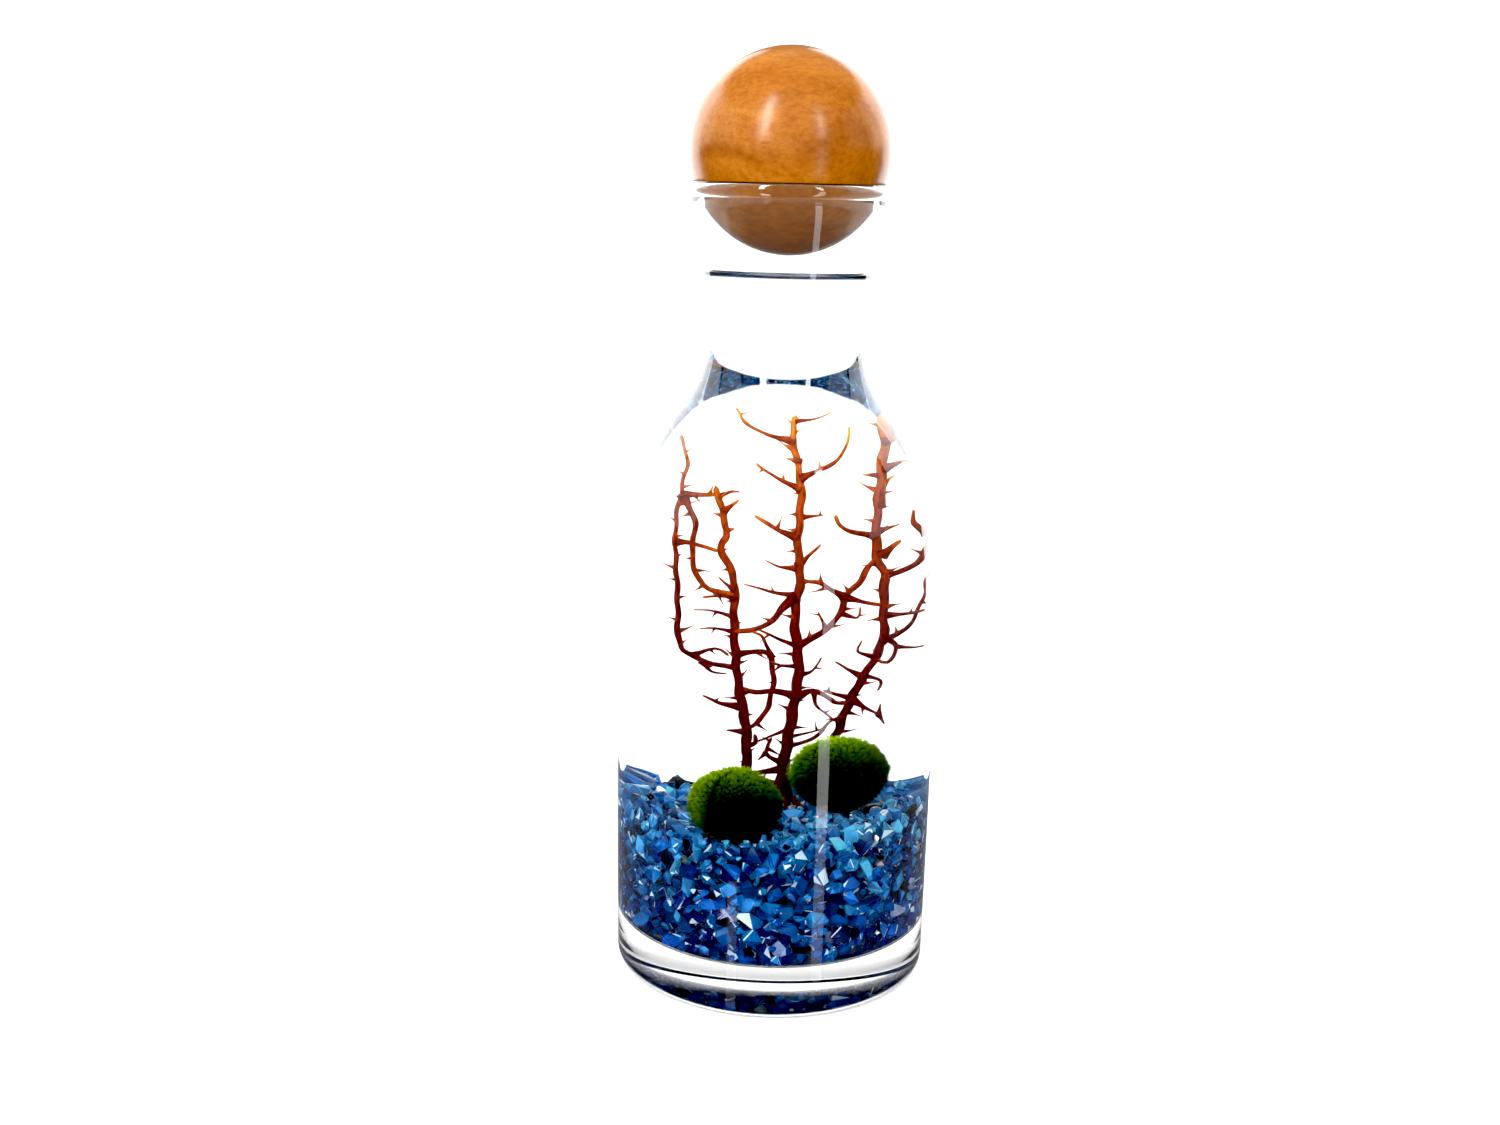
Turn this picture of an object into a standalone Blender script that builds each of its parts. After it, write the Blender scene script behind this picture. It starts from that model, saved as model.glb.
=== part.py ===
"""Planted glass carafe: two moss balls and a sea fan stand in blue gravel under water, and a
wooden ball rests in the flared mouth as its stopper.

Driving dimensions are in millimetres. The origin is on the axis, at the plane the foot stands on,
with +Z up. The front, where the smaller-looking moss ball leans on the glass, faces -Y.
"""

import math
import random

import bmesh
import bpy

MM = 0.001                      # scene units are metres
GAP = 0.3                       # clearance between neighbouring pieces
FACETS = 28                     # sides of the turned pieces

# ---- carafe ---------------------------------------------------------------------------------
# Outer wall, foot to neck, as (radius, height). The shoulder is an S-curve that is steepest
# near 149 mm, and the neck flares again above its waist at 168 mm.
OUTER_WALL = [
    (41.2, 3.0), (41.5, 40.0), (41.5, 100.0), (41.0, 108.0), (38.95, 122.0), (35.3, 134.0),
    (32.5, 140.0), (30.1, 144.0), (25.65, 150.0), (22.15, 156.0), (20.7, 160.0), (19.9, 164.0),
    (19.7, 170.0), (21.9, 182.0), (25.1, 198.4),
]
BODY_WALL = 3.0                 # glass thickness below the shoulder
NECK_WALL = 2.0                 # glass thickness in the neck
THINNING = (105.0, 160.0)       # heights between which the wall thins
LIP_CENTRE = (24.8, 201.6)      # rounded bead around the mouth
LIP_HALF_WIDTH = 1.2
LIP_HALF_HEIGHT = 2.0
FOOT_ROUND = 2.6                # radius under the outer wall
FOOT_RING = (36.8, 38.6)        # flat ring that the carafe stands on
PUSH_UP = 2.8                   # hollow under the base
FLOOR_TOP = 12.6                # top of the thick glass base
FLOOR_ROUND = 3.0               # radius between the floor and the inner wall

# ---- contents -------------------------------------------------------------------------------
STOPPER_RADIUS = 25.0
STOPPER_CENTRE = 211.3          # the ball's centre, held by the lip
WATER_TOP = 181.4
MENISCUS_RISE = 1.5             # how far the water climbs the glass
MENISCUS_REACH = 2.0
BED_TOP = 47.0                  # mean height of the gravel in the middle
BED_DROP = 1.2                  # how much lower it lies at the glass
BED_RINGS = (6.0, 12.0, 18.0, 24.0, 29.5, 34.5)
BED_LAYERS = (19.0, 24.0, 29.0, 34.0, 39.5)
CHIP_TOP_JITTER = 1.1           # chips that stand out of the top
CHIP_SIDE_JITTER = 0.4          # chips set back from the glass
MOSS_BALLS = {                  # node: centre, half sizes, crease azimuth in degrees (or None)
    "moss_ball_front": ((-8.6, -25.0, 52.0), (11.2, 10.5, 10.2), 229.0),
    "moss_ball_back": ((13.3, -4.0, 55.2), (10.6, 10.4, 10.5), None),
}
MOSS_LUMPS = 0.35
CREASE_DEPTH = 1.3

# ---- sea fan --------------------------------------------------------------------------------
# Each node is one limb of the fan, from its main fork to its tips: a stem and its twigs. A
# strand is (route, radius at its start, radius at its tip), and routes are (x, y, z).
SEA_FAN = {
    "sea_fan_trunk": [
        ([(1.8, 3.2, 42.6), (1.7, 3.0, 51.5), (2.4, 3.0, 61.0), (3.6, 3.0, 72.5),
          (4.3, 3.0, 82.0), (3.3, 2.6, 95.0), (4.1, 2.6, 104.0), (3.5, 3.0, 112.5),
          (3.8, 3.6, 124.5), (2.0, 4.0, 135.5), (2.3, 4.4, 140.3)], 1.4, 0.6),
        ([(2.3, 3.9, 134.8), (-3.8, 4.2, 136.6), (-7.3, 5.0, 138.8), (-8.7, 5.4, 142.4)], 0.45, 0.25),
        ([(3.7, 3.6, 127.0), (9.2, 2.6, 130.2), (12.1, 2.0, 133.6), (13.0, 1.8, 139.0)], 0.45, 0.25),
        ([(3.7, 3.4, 124.4), (-0.5, 4.2, 126.6), (-3.6, 4.6, 128.4), (-6.2, 5.0, 131.1)], 0.45, 0.22),
        ([(3.5, 3.0, 113.4), (-1.4, 4.0, 115.7), (-4.6, 4.6, 117.8)], 0.5, 0.3),
        ([(3.6, 3.0, 107.0), (7.8, 2.0, 112.2)], 0.45, 0.25),
        ([(3.4, 2.6, 100.0), (-1.0, 1.8, 100.9), (-6.6, 1.2, 102.7)], 0.45, 0.2),
        ([(3.3, 2.6, 99.8), (0.6, 1.6, 96.7), (-1.8, 1.0, 93.5), (-4.4, 1.4, 91.9)], 0.6, 0.45),
        ([(4.0, 3.0, 74.4), (7.3, 2.0, 76.3), (10.2, 1.8, 74.3), (11.6, 2.4, 73.0)], 0.55, 0.4),
        ([(3.8, 3.0, 74.6), (-0.3, 3.4, 75.7), (-4.0, 3.2, 75.2)], 0.6, 0.5),
        ([(1.7, 3.0, 54.6), (-4.5, 0.8, 53.8), (-12.0, -1.0, 53.9)], 0.5, 0.3),
        ([(1.9, 3.0, 56.0), (-1.5, 1.0, 59.4), (-0.7, 0.4, 63.4)], 0.5, 0.3),
    ],
    "sea_fan_left_limb": [
        ([(-0.8, 3.4, 50.2), (-4.2, 3.4, 51.8), (-5.2, 3.2, 56.0), (-5.5, 3.0, 65.7),
          (-7.3, 3.0, 78.5), (-8.3, 3.4, 92.7), (-8.5, 3.6, 102.9), (-11.2, 3.8, 110.6),
          (-10.2, 4.0, 114.5), (-12.4, 4.4, 123.7)], 1.1, 0.6),
        ([(-7.0, 3.0, 71.2), (-10.6, 2.2, 72.1), (-13.9, 1.6, 73.9)], 0.5, 0.25),
        ([(-5.5, 3.0, 64.4), (-9.0, 4.4, 64.3)], 0.45, 0.25),
        ([(-7.8, 3.2, 85.2), (-2.1, 2.2, 86.2), (-0.6, 1.8, 81.0), (-1.0, 1.6, 74.0),
          (-2.9, 2.0, 68.0), (-5.5, 2.8, 65.2)], 0.5, 0.45),
        ([(-10.9, 3.8, 119.0), (-8.0, 3.0, 121.8)], 0.4, 0.2),
    ],
    "sea_fan_outer_left_limb": [
        ([(-9.6, 3.4, 81.9), (-13.3, 4.0, 82.4), (-16.4, 4.6, 84.2), (-18.5, 5.0, 87.0),
          (-19.1, 5.2, 98.8), (-19.9, 5.0, 114.1), (-18.8, 4.8, 124.6), (-18.1, 4.8, 129.7),
          (-19.5, 5.0, 135.0)], 0.65, 0.4),
        ([(-18.8, 4.8, 122.2), (-16.4, 3.8, 116.3), (-16.7, 3.4, 108.0), (-14.6, 3.2, 101.8),
          (-10.6, 3.4, 100.0)], 0.5, 0.45),
        ([(-18.8, 4.8, 122.2), (-13.6, 4.6, 122.4)], 0.4, 0.35),
        ([(-16.0, 4.6, 84.0), (-11.6, 5.4, 86.0), (-9.4, 5.0, 84.6)], 0.35, 0.3),
    ],
    "sea_fan_right_limb": [
        ([(3.5, 4.5, 51.6), (7.4, 7.4, 56.4), (11.3, 7.4, 62.4), (12.6, 5.4, 67.6),
          (14.1, 3.6, 72.7), (16.4, 3.2, 79.1), (18.9, 4.2, 85.0), (20.0, 5.6, 90.5),
          (19.5, 8.0, 97.2), (19.2, 11.0, 103.0), (17.6, 13.0, 106.6), (17.0, 15.0, 111.2),
          (16.8, 17.0, 117.4), (16.8, 18.4, 123.6), (16.6, 19.4, 130.0), (15.4, 20.0, 135.2)],
         0.95, 0.7),
        ([(17.0, 15.5, 113.0), (12.3, 11.5, 114.2), (10.2, 10.0, 117.2)], 0.45, 0.3),
        ([(19.8, 5.2, 88.9), (24.1, 6.0, 91.4), (27.3, 7.2, 99.1), (29.6, 8.0, 106.4)], 0.45, 0.25),
        ([(19.7, 7.4, 94.5), (25.5, 6.4, 95.2), (27.6, 6.0, 95.8)], 0.45, 0.25),
        ([(14.4, 3.4, 73.6), (20.0, 1.6, 69.8)], 0.5, 0.25),
        ([(16.6, 3.2, 79.6), (11.3, 4.2, 83.5)], 0.45, 0.25),
        ([(18.3, 13.2, 107.6), (20.2, 12.6, 109.7), (21.3, 12.2, 110.9)], 0.5, 0.35),
        ([(17.2, 18.7, 125.4), (20.9, 17.0, 127.5)], 0.4, 0.2),
    ],
    "sea_fan_right_fork": [
        ([(5.4, 2.2, 89.0), (8.7, 3.0, 91.5), (11.6, 4.4, 94.9), (12.6, 6.0, 99.0),
          (14.8, 9.0, 102.0), (16.4, 11.7, 105.4)], 0.65, 0.55),
        ([(12.6, 6.0, 99.0), (10.7, 5.0, 100.7), (7.8, 4.0, 102.9), (5.8, 3.2, 103.3)], 0.45, 0.4),
        ([(12.6, 6.0, 99.0), (18.0, 7.5, 97.2)], 0.4, 0.35),
    ],
    "sea_fan_far_right_limb": [
        ([(20.3, 11.6, 103.4), (22.4, 12.5, 104.2), (24.1, 13.5, 105.5), (24.7, 14.5, 107.3),
          (25.2, 15.5, 109.4), (25.0, 16.2, 111.8), (24.6, 16.6, 114.2)], 0.55, 0.45),
        ([(24.9, 15.8, 111.6), (23.5, 15.4, 113.3), (22.9, 15.0, 115.0), (22.8, 15.0, 117.0)], 0.45, 0.25),
    ],
}
STRAND_SIDES = 6
STRAND_STEP = 5.5               # distance between a strand's rings
# The clear slots that the water's solid leaves around the fan, and around its right side, which
# bends back: the outline in (x, z), then the depth from y to y.
FAN_SLOTS = {
    "fan_slot": ([
        (-24.0, 36.0), (-24.0, 76.0), (-22.6, 84.0), (-22.6, 137.0), (-12.0, 144.6), (14.0, 144.6),
        (23.4, 136.0), (34.6, 115.0), (34.6, 90.0), (24.0, 60.0), (24.0, 36.0)], (-2.2, 9.2)),
    "bent_limb_slot": ([
        (8.4, 92.0), (8.4, 120.0), (13.2, 137.2), (18.6, 137.2), (22.6, 128.0), (26.8, 118.0),
        (26.8, 100.0), (22.0, 92.0)], (8.0, 21.5)),
}
ROOT_POCKET_RADIUS = 2.0        # hole in the gravel for the trunk's root
ROOT_POCKET = (41.4, 52.0)      # from z to z

COLOURS = {                     # base colour, roughness, alpha
    "glass": ((0.93, 0.97, 0.96), 0.03, 0.35),
    "wood": ((0.50, 0.23, 0.07), 0.35, 1.0),
    "water": ((0.90, 0.96, 0.98), 0.02, 0.2),
    "gravel": ((0.03, 0.16, 0.42), 0.25, 1.0),
    "moss": ((0.09, 0.20, 0.02), 0.95, 1.0),
    "sea_fan": ((0.33, 0.06, 0.03), 0.6, 1.0),
}


def clear_scene():
    for old in list(bpy.data.objects):
        bpy.data.objects.remove(old, do_unlink=True)


def material(name):
    colour, roughness, alpha = COLOURS[name]
    mat = bpy.data.materials.get(name) or bpy.data.materials.new(name)
    mat.use_nodes = True
    shader = mat.node_tree.nodes["Principled BSDF"]
    shader.inputs["Base Color"].default_value = (*colour, 1.0)
    shader.inputs["Roughness"].default_value = roughness
    shader.inputs["Metallic"].default_value = 0.0
    shader.inputs["Alpha"].default_value = alpha
    mat.diffuse_color = (*colour, alpha)
    return mat


def add_object(name, bm, material_name=None, smooth_angle=None):
    """Put a bmesh drawn in millimetres into the scene, in metres."""
    bmesh.ops.scale(bm, vec=(MM, MM, MM), verts=bm.verts)
    bmesh.ops.recalc_face_normals(bm, faces=bm.faces)
    mesh = bpy.data.meshes.new(name)
    bm.to_mesh(mesh)
    bm.free()
    obj = bpy.data.objects.new(name, mesh)
    bpy.context.scene.collection.objects.link(obj)
    if material_name:
        mesh.materials.append(material(material_name))
    if smooth_angle:
        mesh.shade_smooth()
        mesh.set_sharp_from_angle(angle=math.radians(smooth_angle))
    return obj


def hide_guide(obj):
    obj.hide_render = True
    obj.display_type = "WIRE"
    return obj


def boolean(obj, guide, operation):
    modifier = obj.modifiers.new(guide.name, "BOOLEAN")
    modifier.operation = operation
    modifier.solver = "EXACT"
    modifier.use_self = operation == "UNION"
    modifier.object = guide


# ---- turned shapes --------------------------------------------------------------------------
def ring_points(radius, height, count=FACETS):
    step = 2.0 * math.pi / count
    return [(radius * math.cos(i * step), radius * math.sin(i * step), height) for i in range(count)]


def add_ring(bm, points):
    return [bm.verts.new(point) for point in points]


def join_rings(bm, ring_a, ring_b):
    count = len(ring_a)
    for i in range(count):
        j = (i + 1) % count
        bm.faces.new((ring_a[i], ring_a[j], ring_b[j], ring_b[i]))


def close_ring(bm, ring, centre):
    tip = bm.verts.new(centre)
    count = len(ring)
    for i in range(count):
        bm.faces.new((ring[i], ring[(i + 1) % count], tip))


def turned(profile):
    """Turn a profile of (radius, height) whose two ends are on the axis."""
    bm = bmesh.new()
    rings = [add_ring(bm, ring_points(radius, height)) for radius, height in profile[1:-1]]
    for ring_a, ring_b in zip(rings, rings[1:]):
        join_rings(bm, ring_a, ring_b)
    close_ring(bm, rings[0], (0.0, 0.0, profile[0][1]))
    close_ring(bm, rings[-1], (0.0, 0.0, profile[-1][1]))
    return bm


def arc(centre, radius_x, radius_z, start, end, steps):
    """Points on an elliptic arc, with angles in degrees from +X towards +Z."""
    points = []
    for i in range(steps + 1):
        angle = math.radians(start + (end - start) * i / steps)
        points.append((centre[0] + radius_x * math.cos(angle), centre[1] + radius_z * math.sin(angle)))
    return points


# ---- carafe ---------------------------------------------------------------------------------
def wall_thickness(height):
    share = (height - THINNING[0]) / (THINNING[1] - THINNING[0])
    share = min(max(share, 0.0), 1.0)
    return BODY_WALL + (NECK_WALL - BODY_WALL) * share


def inner_wall():
    """The outer wall's stations set in by the glass thickness, square to the wall."""
    points = []
    for i in range(1, len(OUTER_WALL)):
        before = OUTER_WALL[i - 1]
        after = OUTER_WALL[min(i + 1, len(OUTER_WALL) - 1)]
        run_r = after[0] - before[0]
        run_z = after[1] - before[1]
        length = math.hypot(run_r, run_z)
        radius, height = OUTER_WALL[i]
        wall = wall_thickness(height)
        points.append((radius - wall * run_z / length, height + wall * run_r / length))
    return points


def under_base():
    steps = 4
    shares = [i / steps for i in range(steps + 1)]
    return [(FOOT_RING[0] * share, PUSH_UP * (1.0 - share ** 3)) for share in shares]


def make_carafe():
    foot = arc((FOOT_RING[1], FOOT_ROUND), FOOT_ROUND, FOOT_ROUND, -90.0, 0.0, 3)
    lip = arc(LIP_CENTRE, LIP_HALF_WIDTH, LIP_HALF_HEIGHT, -45.0, 225.0, 8)
    inner = inner_wall()
    floor_radius = inner[0][0]
    corner_centre = (floor_radius - FLOOR_ROUND, FLOOR_TOP + FLOOR_ROUND)
    corner = arc(corner_centre, FLOOR_ROUND, FLOOR_ROUND, 0.0, -90.0, 3)
    profile = under_base() + foot + OUTER_WALL + lip + inner[::-1] + corner + [(0.0, FLOOR_TOP)]
    add_object("glass_carafe", turned(profile), "glass", smooth_angle=40.0)


def make_stopper():
    bm = bmesh.new()
    bmesh.ops.create_uvsphere(bm, u_segments=24, v_segments=16, radius=STOPPER_RADIUS)
    bmesh.ops.translate(bm, vec=(0.0, 0.0, STOPPER_CENTRE), verts=bm.verts)
    add_object("ball_stopper", bm, "wood", smooth_angle=60.0)


# ---- gravel and water -----------------------------------------------------------------------
def inside_radius(height):
    """Largest radius that contents may have at a height, clear of the faceted glass."""
    inner = inner_wall()
    flat_side = math.cos(math.pi / FACETS)
    for (radius_a, height_a), (radius_b, height_b) in zip(inner, inner[1:]):
        if height <= height_b:
            share = max(0.0, (height - height_a) / (height_b - height_a))
            return (radius_a + (radius_b - radius_a) * share) * flat_side - GAP
    return inner[-1][0] * flat_side - GAP


def bed_height(x, y):
    """Smooth height of the gravel: it falls a little towards the back and the glass."""
    slope = 0.012 * x - 0.035 * y
    waves = 0.6 * math.sin(0.19 * x + 0.6) * math.cos(0.17 * y - 0.4) + 0.4 * math.sin(0.31 * y + 1.0)
    drop = BED_DROP * (math.hypot(x, y) / (OUTER_WALL[1][0] - BODY_WALL)) ** 3
    return BED_TOP + slope + waves - drop


def bed_surface():
    """Rings of points across the gravel's top, from the middle to the glass."""
    rng = random.Random(11)
    rim = inside_radius(BED_TOP)
    rings = []
    for radius in (*BED_RINGS, rim):
        ring = []
        for x, y, _ in ring_points(radius, 0.0):
            jitter = rng.uniform(-CHIP_TOP_JITTER, CHIP_TOP_JITTER)
            ring.append((x, y, bed_height(x, y) + jitter))
        rings.append(ring)
    return rings


def make_gravel(pockets):
    rng = random.Random(23)
    bm = bmesh.new()
    bottom = FLOOR_TOP + GAP
    rim = inside_radius(bottom)
    edge = [(rim - FLOOR_ROUND, bottom), (rim - 0.8, bottom + 1.4), (rim, bottom + FLOOR_ROUND)]
    rings = [add_ring(bm, ring_points(radius, height)) for radius, height in edge]
    close_ring(bm, rings[0], (0.0, 0.0, bottom))
    for height in BED_LAYERS:
        points = []
        for x, y, z in ring_points(rim, height):
            inset = 1.0 - rng.uniform(0.0, CHIP_SIDE_JITTER) / rim
            points.append((x * inset, y * inset, z + rng.uniform(-CHIP_SIDE_JITTER, CHIP_SIDE_JITTER)))
        rings.append(add_ring(bm, points))
    rings += [add_ring(bm, ring) for ring in reversed(bed_surface())]
    for ring_a, ring_b in zip(rings, rings[1:]):
        join_rings(bm, ring_a, ring_b)
    close_ring(bm, rings[-1], (0.0, 0.0, bed_height(0.0, 0.0)))
    bmesh.ops.triangulate(bm, faces=bm.faces)
    gravel = add_object("gravel_bed", bm, "gravel")
    for pocket in pockets:
        boolean(gravel, pocket, "DIFFERENCE")


def make_water(pockets):
    bm = bmesh.new()
    lift = GAP + 0.1
    surface = bed_surface()
    rings = [add_ring(bm, [(x, y, z + lift) for x, y, z in ring]) for ring in surface]
    close_ring(bm, rings[0], (0.0, 0.0, bed_height(0.0, 0.0) + lift))
    walls = [height for _, height in OUTER_WALL if BED_TOP + 8.0 < height < WATER_TOP - 3.0]
    for height in walls:
        rings.append(add_ring(bm, ring_points(inside_radius(height), height)))
    rim = inside_radius(WATER_TOP)
    rings.append(add_ring(bm, ring_points(rim, WATER_TOP + MENISCUS_RISE)))
    rings.append(add_ring(bm, ring_points(rim - 0.3 * MENISCUS_REACH, WATER_TOP + 0.4 * MENISCUS_RISE)))
    rings.append(add_ring(bm, ring_points(rim - MENISCUS_REACH, WATER_TOP)))
    for ring_a, ring_b in zip(rings, rings[1:]):
        join_rings(bm, ring_a, ring_b)
    close_ring(bm, rings[-1], (0.0, 0.0, WATER_TOP))
    bmesh.ops.triangulate(bm, faces=bm.faces)
    water = add_object("water", bm, "water", smooth_angle=40.0)
    for pocket in pockets:
        boolean(water, pocket, "DIFFERENCE")


def fan_slot(name):
    outline, (near, far) = FAN_SLOTS[name]
    bm = bmesh.new()
    front = [bm.verts.new((x, near, z)) for x, z in outline]
    back = [bm.verts.new((x, far, z)) for x, z in outline]
    join_rings(bm, front, back)
    bm.faces.new(front)
    bm.faces.new(back)
    return hide_guide(add_object(name, bm))


def root_pocket():
    bm = bmesh.new()
    low, high = ROOT_POCKET
    x, y, _ = SEA_FAN["sea_fan_trunk"][0][0][0]
    rings = []
    for height in (low, high):
        points = [(x + px, y + py, pz) for px, py, pz in ring_points(ROOT_POCKET_RADIUS, height, 8)]
        rings.append(add_ring(bm, points))
    join_rings(bm, *rings)
    bm.faces.new(rings[0])
    bm.faces.new(rings[1])
    return hide_guide(add_object("root_pocket", bm))


# ---- moss balls -----------------------------------------------------------------------------
def moss_shape(centre, half_sizes, crease, grow):
    """A soft, slightly lumpy ball, with one upright crease where two lobes meet."""
    bm = bmesh.new()
    bmesh.ops.create_icosphere(bm, subdivisions=3, radius=1.0)
    for vert in bm.verts:
        x, y, z = vert.co
        lumps = MOSS_LUMPS * math.sin(3.1 * x + centre[0]) * math.cos(2.7 * y + 1.9 * z + centre[1])
        if crease is not None:
            turn = math.degrees(math.atan2(y, x)) % 360.0 - crease
            level = max(0.0, 1.0 - z * z)
            lumps -= CREASE_DEPTH * level * math.exp(-(turn / 11.0) ** 2)
        for axis, half_size in enumerate(half_sizes):
            vert.co[axis] = centre[axis] + vert.co[axis] * (half_size + lumps + grow)
    return bm


def make_moss(name):
    centre, half_sizes, crease = MOSS_BALLS[name]
    add_object(name, moss_shape(centre, half_sizes, crease, 0.0), "moss", smooth_angle=60.0)
    pocket = moss_shape(centre, half_sizes, crease, GAP + 0.05)
    return hide_guide(add_object(name + "_pocket", pocket))


# ---- sea fan --------------------------------------------------------------------------------
def subtract(a, b):
    return tuple(p - q for p, q in zip(a, b))


def unit(vector):
    length = math.sqrt(sum(p * p for p in vector))
    return tuple(p / length for p in vector)


def cross(a, b):
    return (a[1] * b[2] - a[2] * b[1], a[2] * b[0] - a[0] * b[2], a[0] * b[1] - a[1] * b[0])


def smooth_route(route):
    """Points every few millimetres on a smooth curve through a route."""
    last = len(route) - 1
    points = []
    for i in range(last):
        p0, p1 = route[max(i - 1, 0)], route[i]
        p2, p3 = route[i + 1], route[min(i + 2, last)]
        steps = max(1, round(math.dist(p1, p2) / STRAND_STEP))
        for k in range(steps):
            t = k / steps
            points.append(tuple(
                0.5 * (2 * b + (c - a) * t + (2 * a - 5 * b + 4 * c - d) * t * t
                       + (3 * b - a - 3 * c + d) * t ** 3)
                for a, b, c, d in zip(p0, p1, p2, p3)))
    points.append(route[-1])
    return points


def add_strand(bm, route, start_radius, tip_radius):
    """A tapering branch with pointed ends."""
    points = smooth_route(route)
    last = len(points) - 1
    rings = []
    for i, point in enumerate(points):
        along = unit(subtract(points[min(i + 1, last)], points[max(i - 1, 0)]))
        side = unit(cross(along, (0.0, 1.0, 0.0)))
        front = cross(side, along)
        radius = start_radius + (tip_radius - start_radius) * i / last
        ring = []
        for k in range(STRAND_SIDES):
            angle = 2.0 * math.pi * k / STRAND_SIDES
            offset = [radius * (math.cos(angle) * s + math.sin(angle) * f) for s, f in zip(side, front)]
            ring.append(bm.verts.new([p + o for p, o in zip(point, offset)]))
        rings.append(ring)
    for ring_a, ring_b in zip(rings, rings[1:]):
        join_rings(bm, ring_a, ring_b)
    tail = unit(subtract(points[0], points[1]))
    head = unit(subtract(points[-1], points[-2]))
    close_ring(bm, rings[0], [p + 0.5 * start_radius * q for p, q in zip(points[0], tail)])
    close_ring(bm, rings[-1], [p + 1.5 * tip_radius * q for p, q in zip(points[-1], head)])


def make_limb(name, strands):
    stem = bmesh.new()
    add_strand(stem, *strands[0])
    limb = add_object(name, stem, "sea_fan", smooth_angle=50.0)
    twigs = bmesh.new()
    for strand in strands[1:]:
        add_strand(twigs, *strand)
    boolean(limb, hide_guide(add_object(name + "_twigs", twigs)), "UNION")


def main():
    clear_scene()
    make_carafe()
    make_stopper()
    moss_pockets = [make_moss(name) for name in MOSS_BALLS]
    make_gravel(moss_pockets + [root_pocket()])
    make_water(moss_pockets + [fan_slot(name) for name in FAN_SLOTS])
    for name, strands in SEA_FAN.items():
        make_limb(name, strands)


main()
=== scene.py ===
"""Looks of the planted carafe: fine turned glass, water, crushed-glass gravel, moss balls with
their filaments, a sea fan with its thorns, and a grained wooden ball in the mouth.

Sizes are in millimetres in the part's frame. Meshes are scaled to metres as they are made.
"""

import math

import bmesh
import bpy
import numpy as np
from mathutils import Matrix


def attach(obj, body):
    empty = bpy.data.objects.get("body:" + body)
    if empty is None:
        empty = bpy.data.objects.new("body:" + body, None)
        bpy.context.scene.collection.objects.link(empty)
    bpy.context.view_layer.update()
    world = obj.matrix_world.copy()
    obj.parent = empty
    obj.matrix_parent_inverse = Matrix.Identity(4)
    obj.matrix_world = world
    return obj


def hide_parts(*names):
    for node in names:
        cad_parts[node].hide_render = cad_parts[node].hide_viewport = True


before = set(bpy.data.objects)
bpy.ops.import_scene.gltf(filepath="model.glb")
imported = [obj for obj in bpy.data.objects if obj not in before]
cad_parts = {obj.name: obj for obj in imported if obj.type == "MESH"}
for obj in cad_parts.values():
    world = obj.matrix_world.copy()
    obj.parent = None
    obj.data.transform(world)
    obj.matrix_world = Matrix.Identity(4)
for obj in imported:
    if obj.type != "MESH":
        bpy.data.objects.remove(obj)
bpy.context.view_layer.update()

MM = 0.001
BLACK = (0.0, 0.0, 0.0)
WHITE = (1.0, 1.0, 1.0)
TURN_SIDES = 160  # sides of the turned glass and water
GLASS_COLOUR = (0.995, 1.0, 0.99)
GLASS_IOR = 1.5
WATER_IOR = 1.33

# ---- carafe, as in the part ----
OUTER_WALL = [  # (radius, height) from the foot to the neck
    (41.2, 3.0), (41.47, 34.0), (41.5, 40.0), (41.5, 93.0), (41.5, 98.0), (41.0, 108.0),
    (40.2, 115.0), (38.95, 122.0), (37.4, 128.0), (35.3, 134.0), (32.5, 140.0), (30.1, 144.0),
    (28.0, 147.0), (25.65, 150.0), (23.65, 153.0), (22.15, 156.0), (20.7, 160.0), (19.9, 164.0),
    (19.7, 170.0), (20.6, 176.0), (21.9, 182.0), (23.5, 190.0), (25.1, 198.4),
]
WALL_STEP = 1.2  # spacing of the fine wall's rings
BODY_RADIUS = 41.5  # at its widest
BODY_WALL = 3.0  # thickness
NECK_WALL = 2.0
THINNING = (105.0, 160.0)  # heights between which the wall thins from body to neck
STRAIGHT_WALL = (38.5, 40.0)  # inner radius of the straight body, and the height it ends at
LIP_CENTRE = (24.8, 201.6)  # (radius, height)
LIP_HALF_WIDTH = 1.2
LIP_HALF_HEIGHT = 2.0
FOOT_ROUND = 2.6
FOOT_RING = (36.8, 38.6)  # radii between which it stands flat on the ground
PUSH_UP = 2.8  # of the hollow under the base's middle
FLOOR_TOP = 12.6
FLOOR_ROUND = 3.0

# ---- contents, as in the part ----
STOPPER_RADIUS = 25.0
STOPPER_CENTRE = 211.3
WATER_TOP = 181.4
MENISCUS_RISE = 1.5
MENISCUS_REACH = 0.8  # distance over which the meniscus falls to a third
WATER_GAP = 0.02  # between the water's side and the glass
BED_TOP = 47.0  # height that the chips' tips reach in the middle
BED_DROP = 1.2  # how much lower the bed lies at the glass
MOSS_BALLS = {  # node: centre, half sizes, crease azimuth in degrees (or None)
    "moss_ball_front": ((-8.6, -25.0, 52.0), (11.2, 10.5, 10.2), 229.0),
    "moss_ball_back": ((13.3, -4.0, 55.2), (10.6, 10.4, 10.5), None),
}

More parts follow.
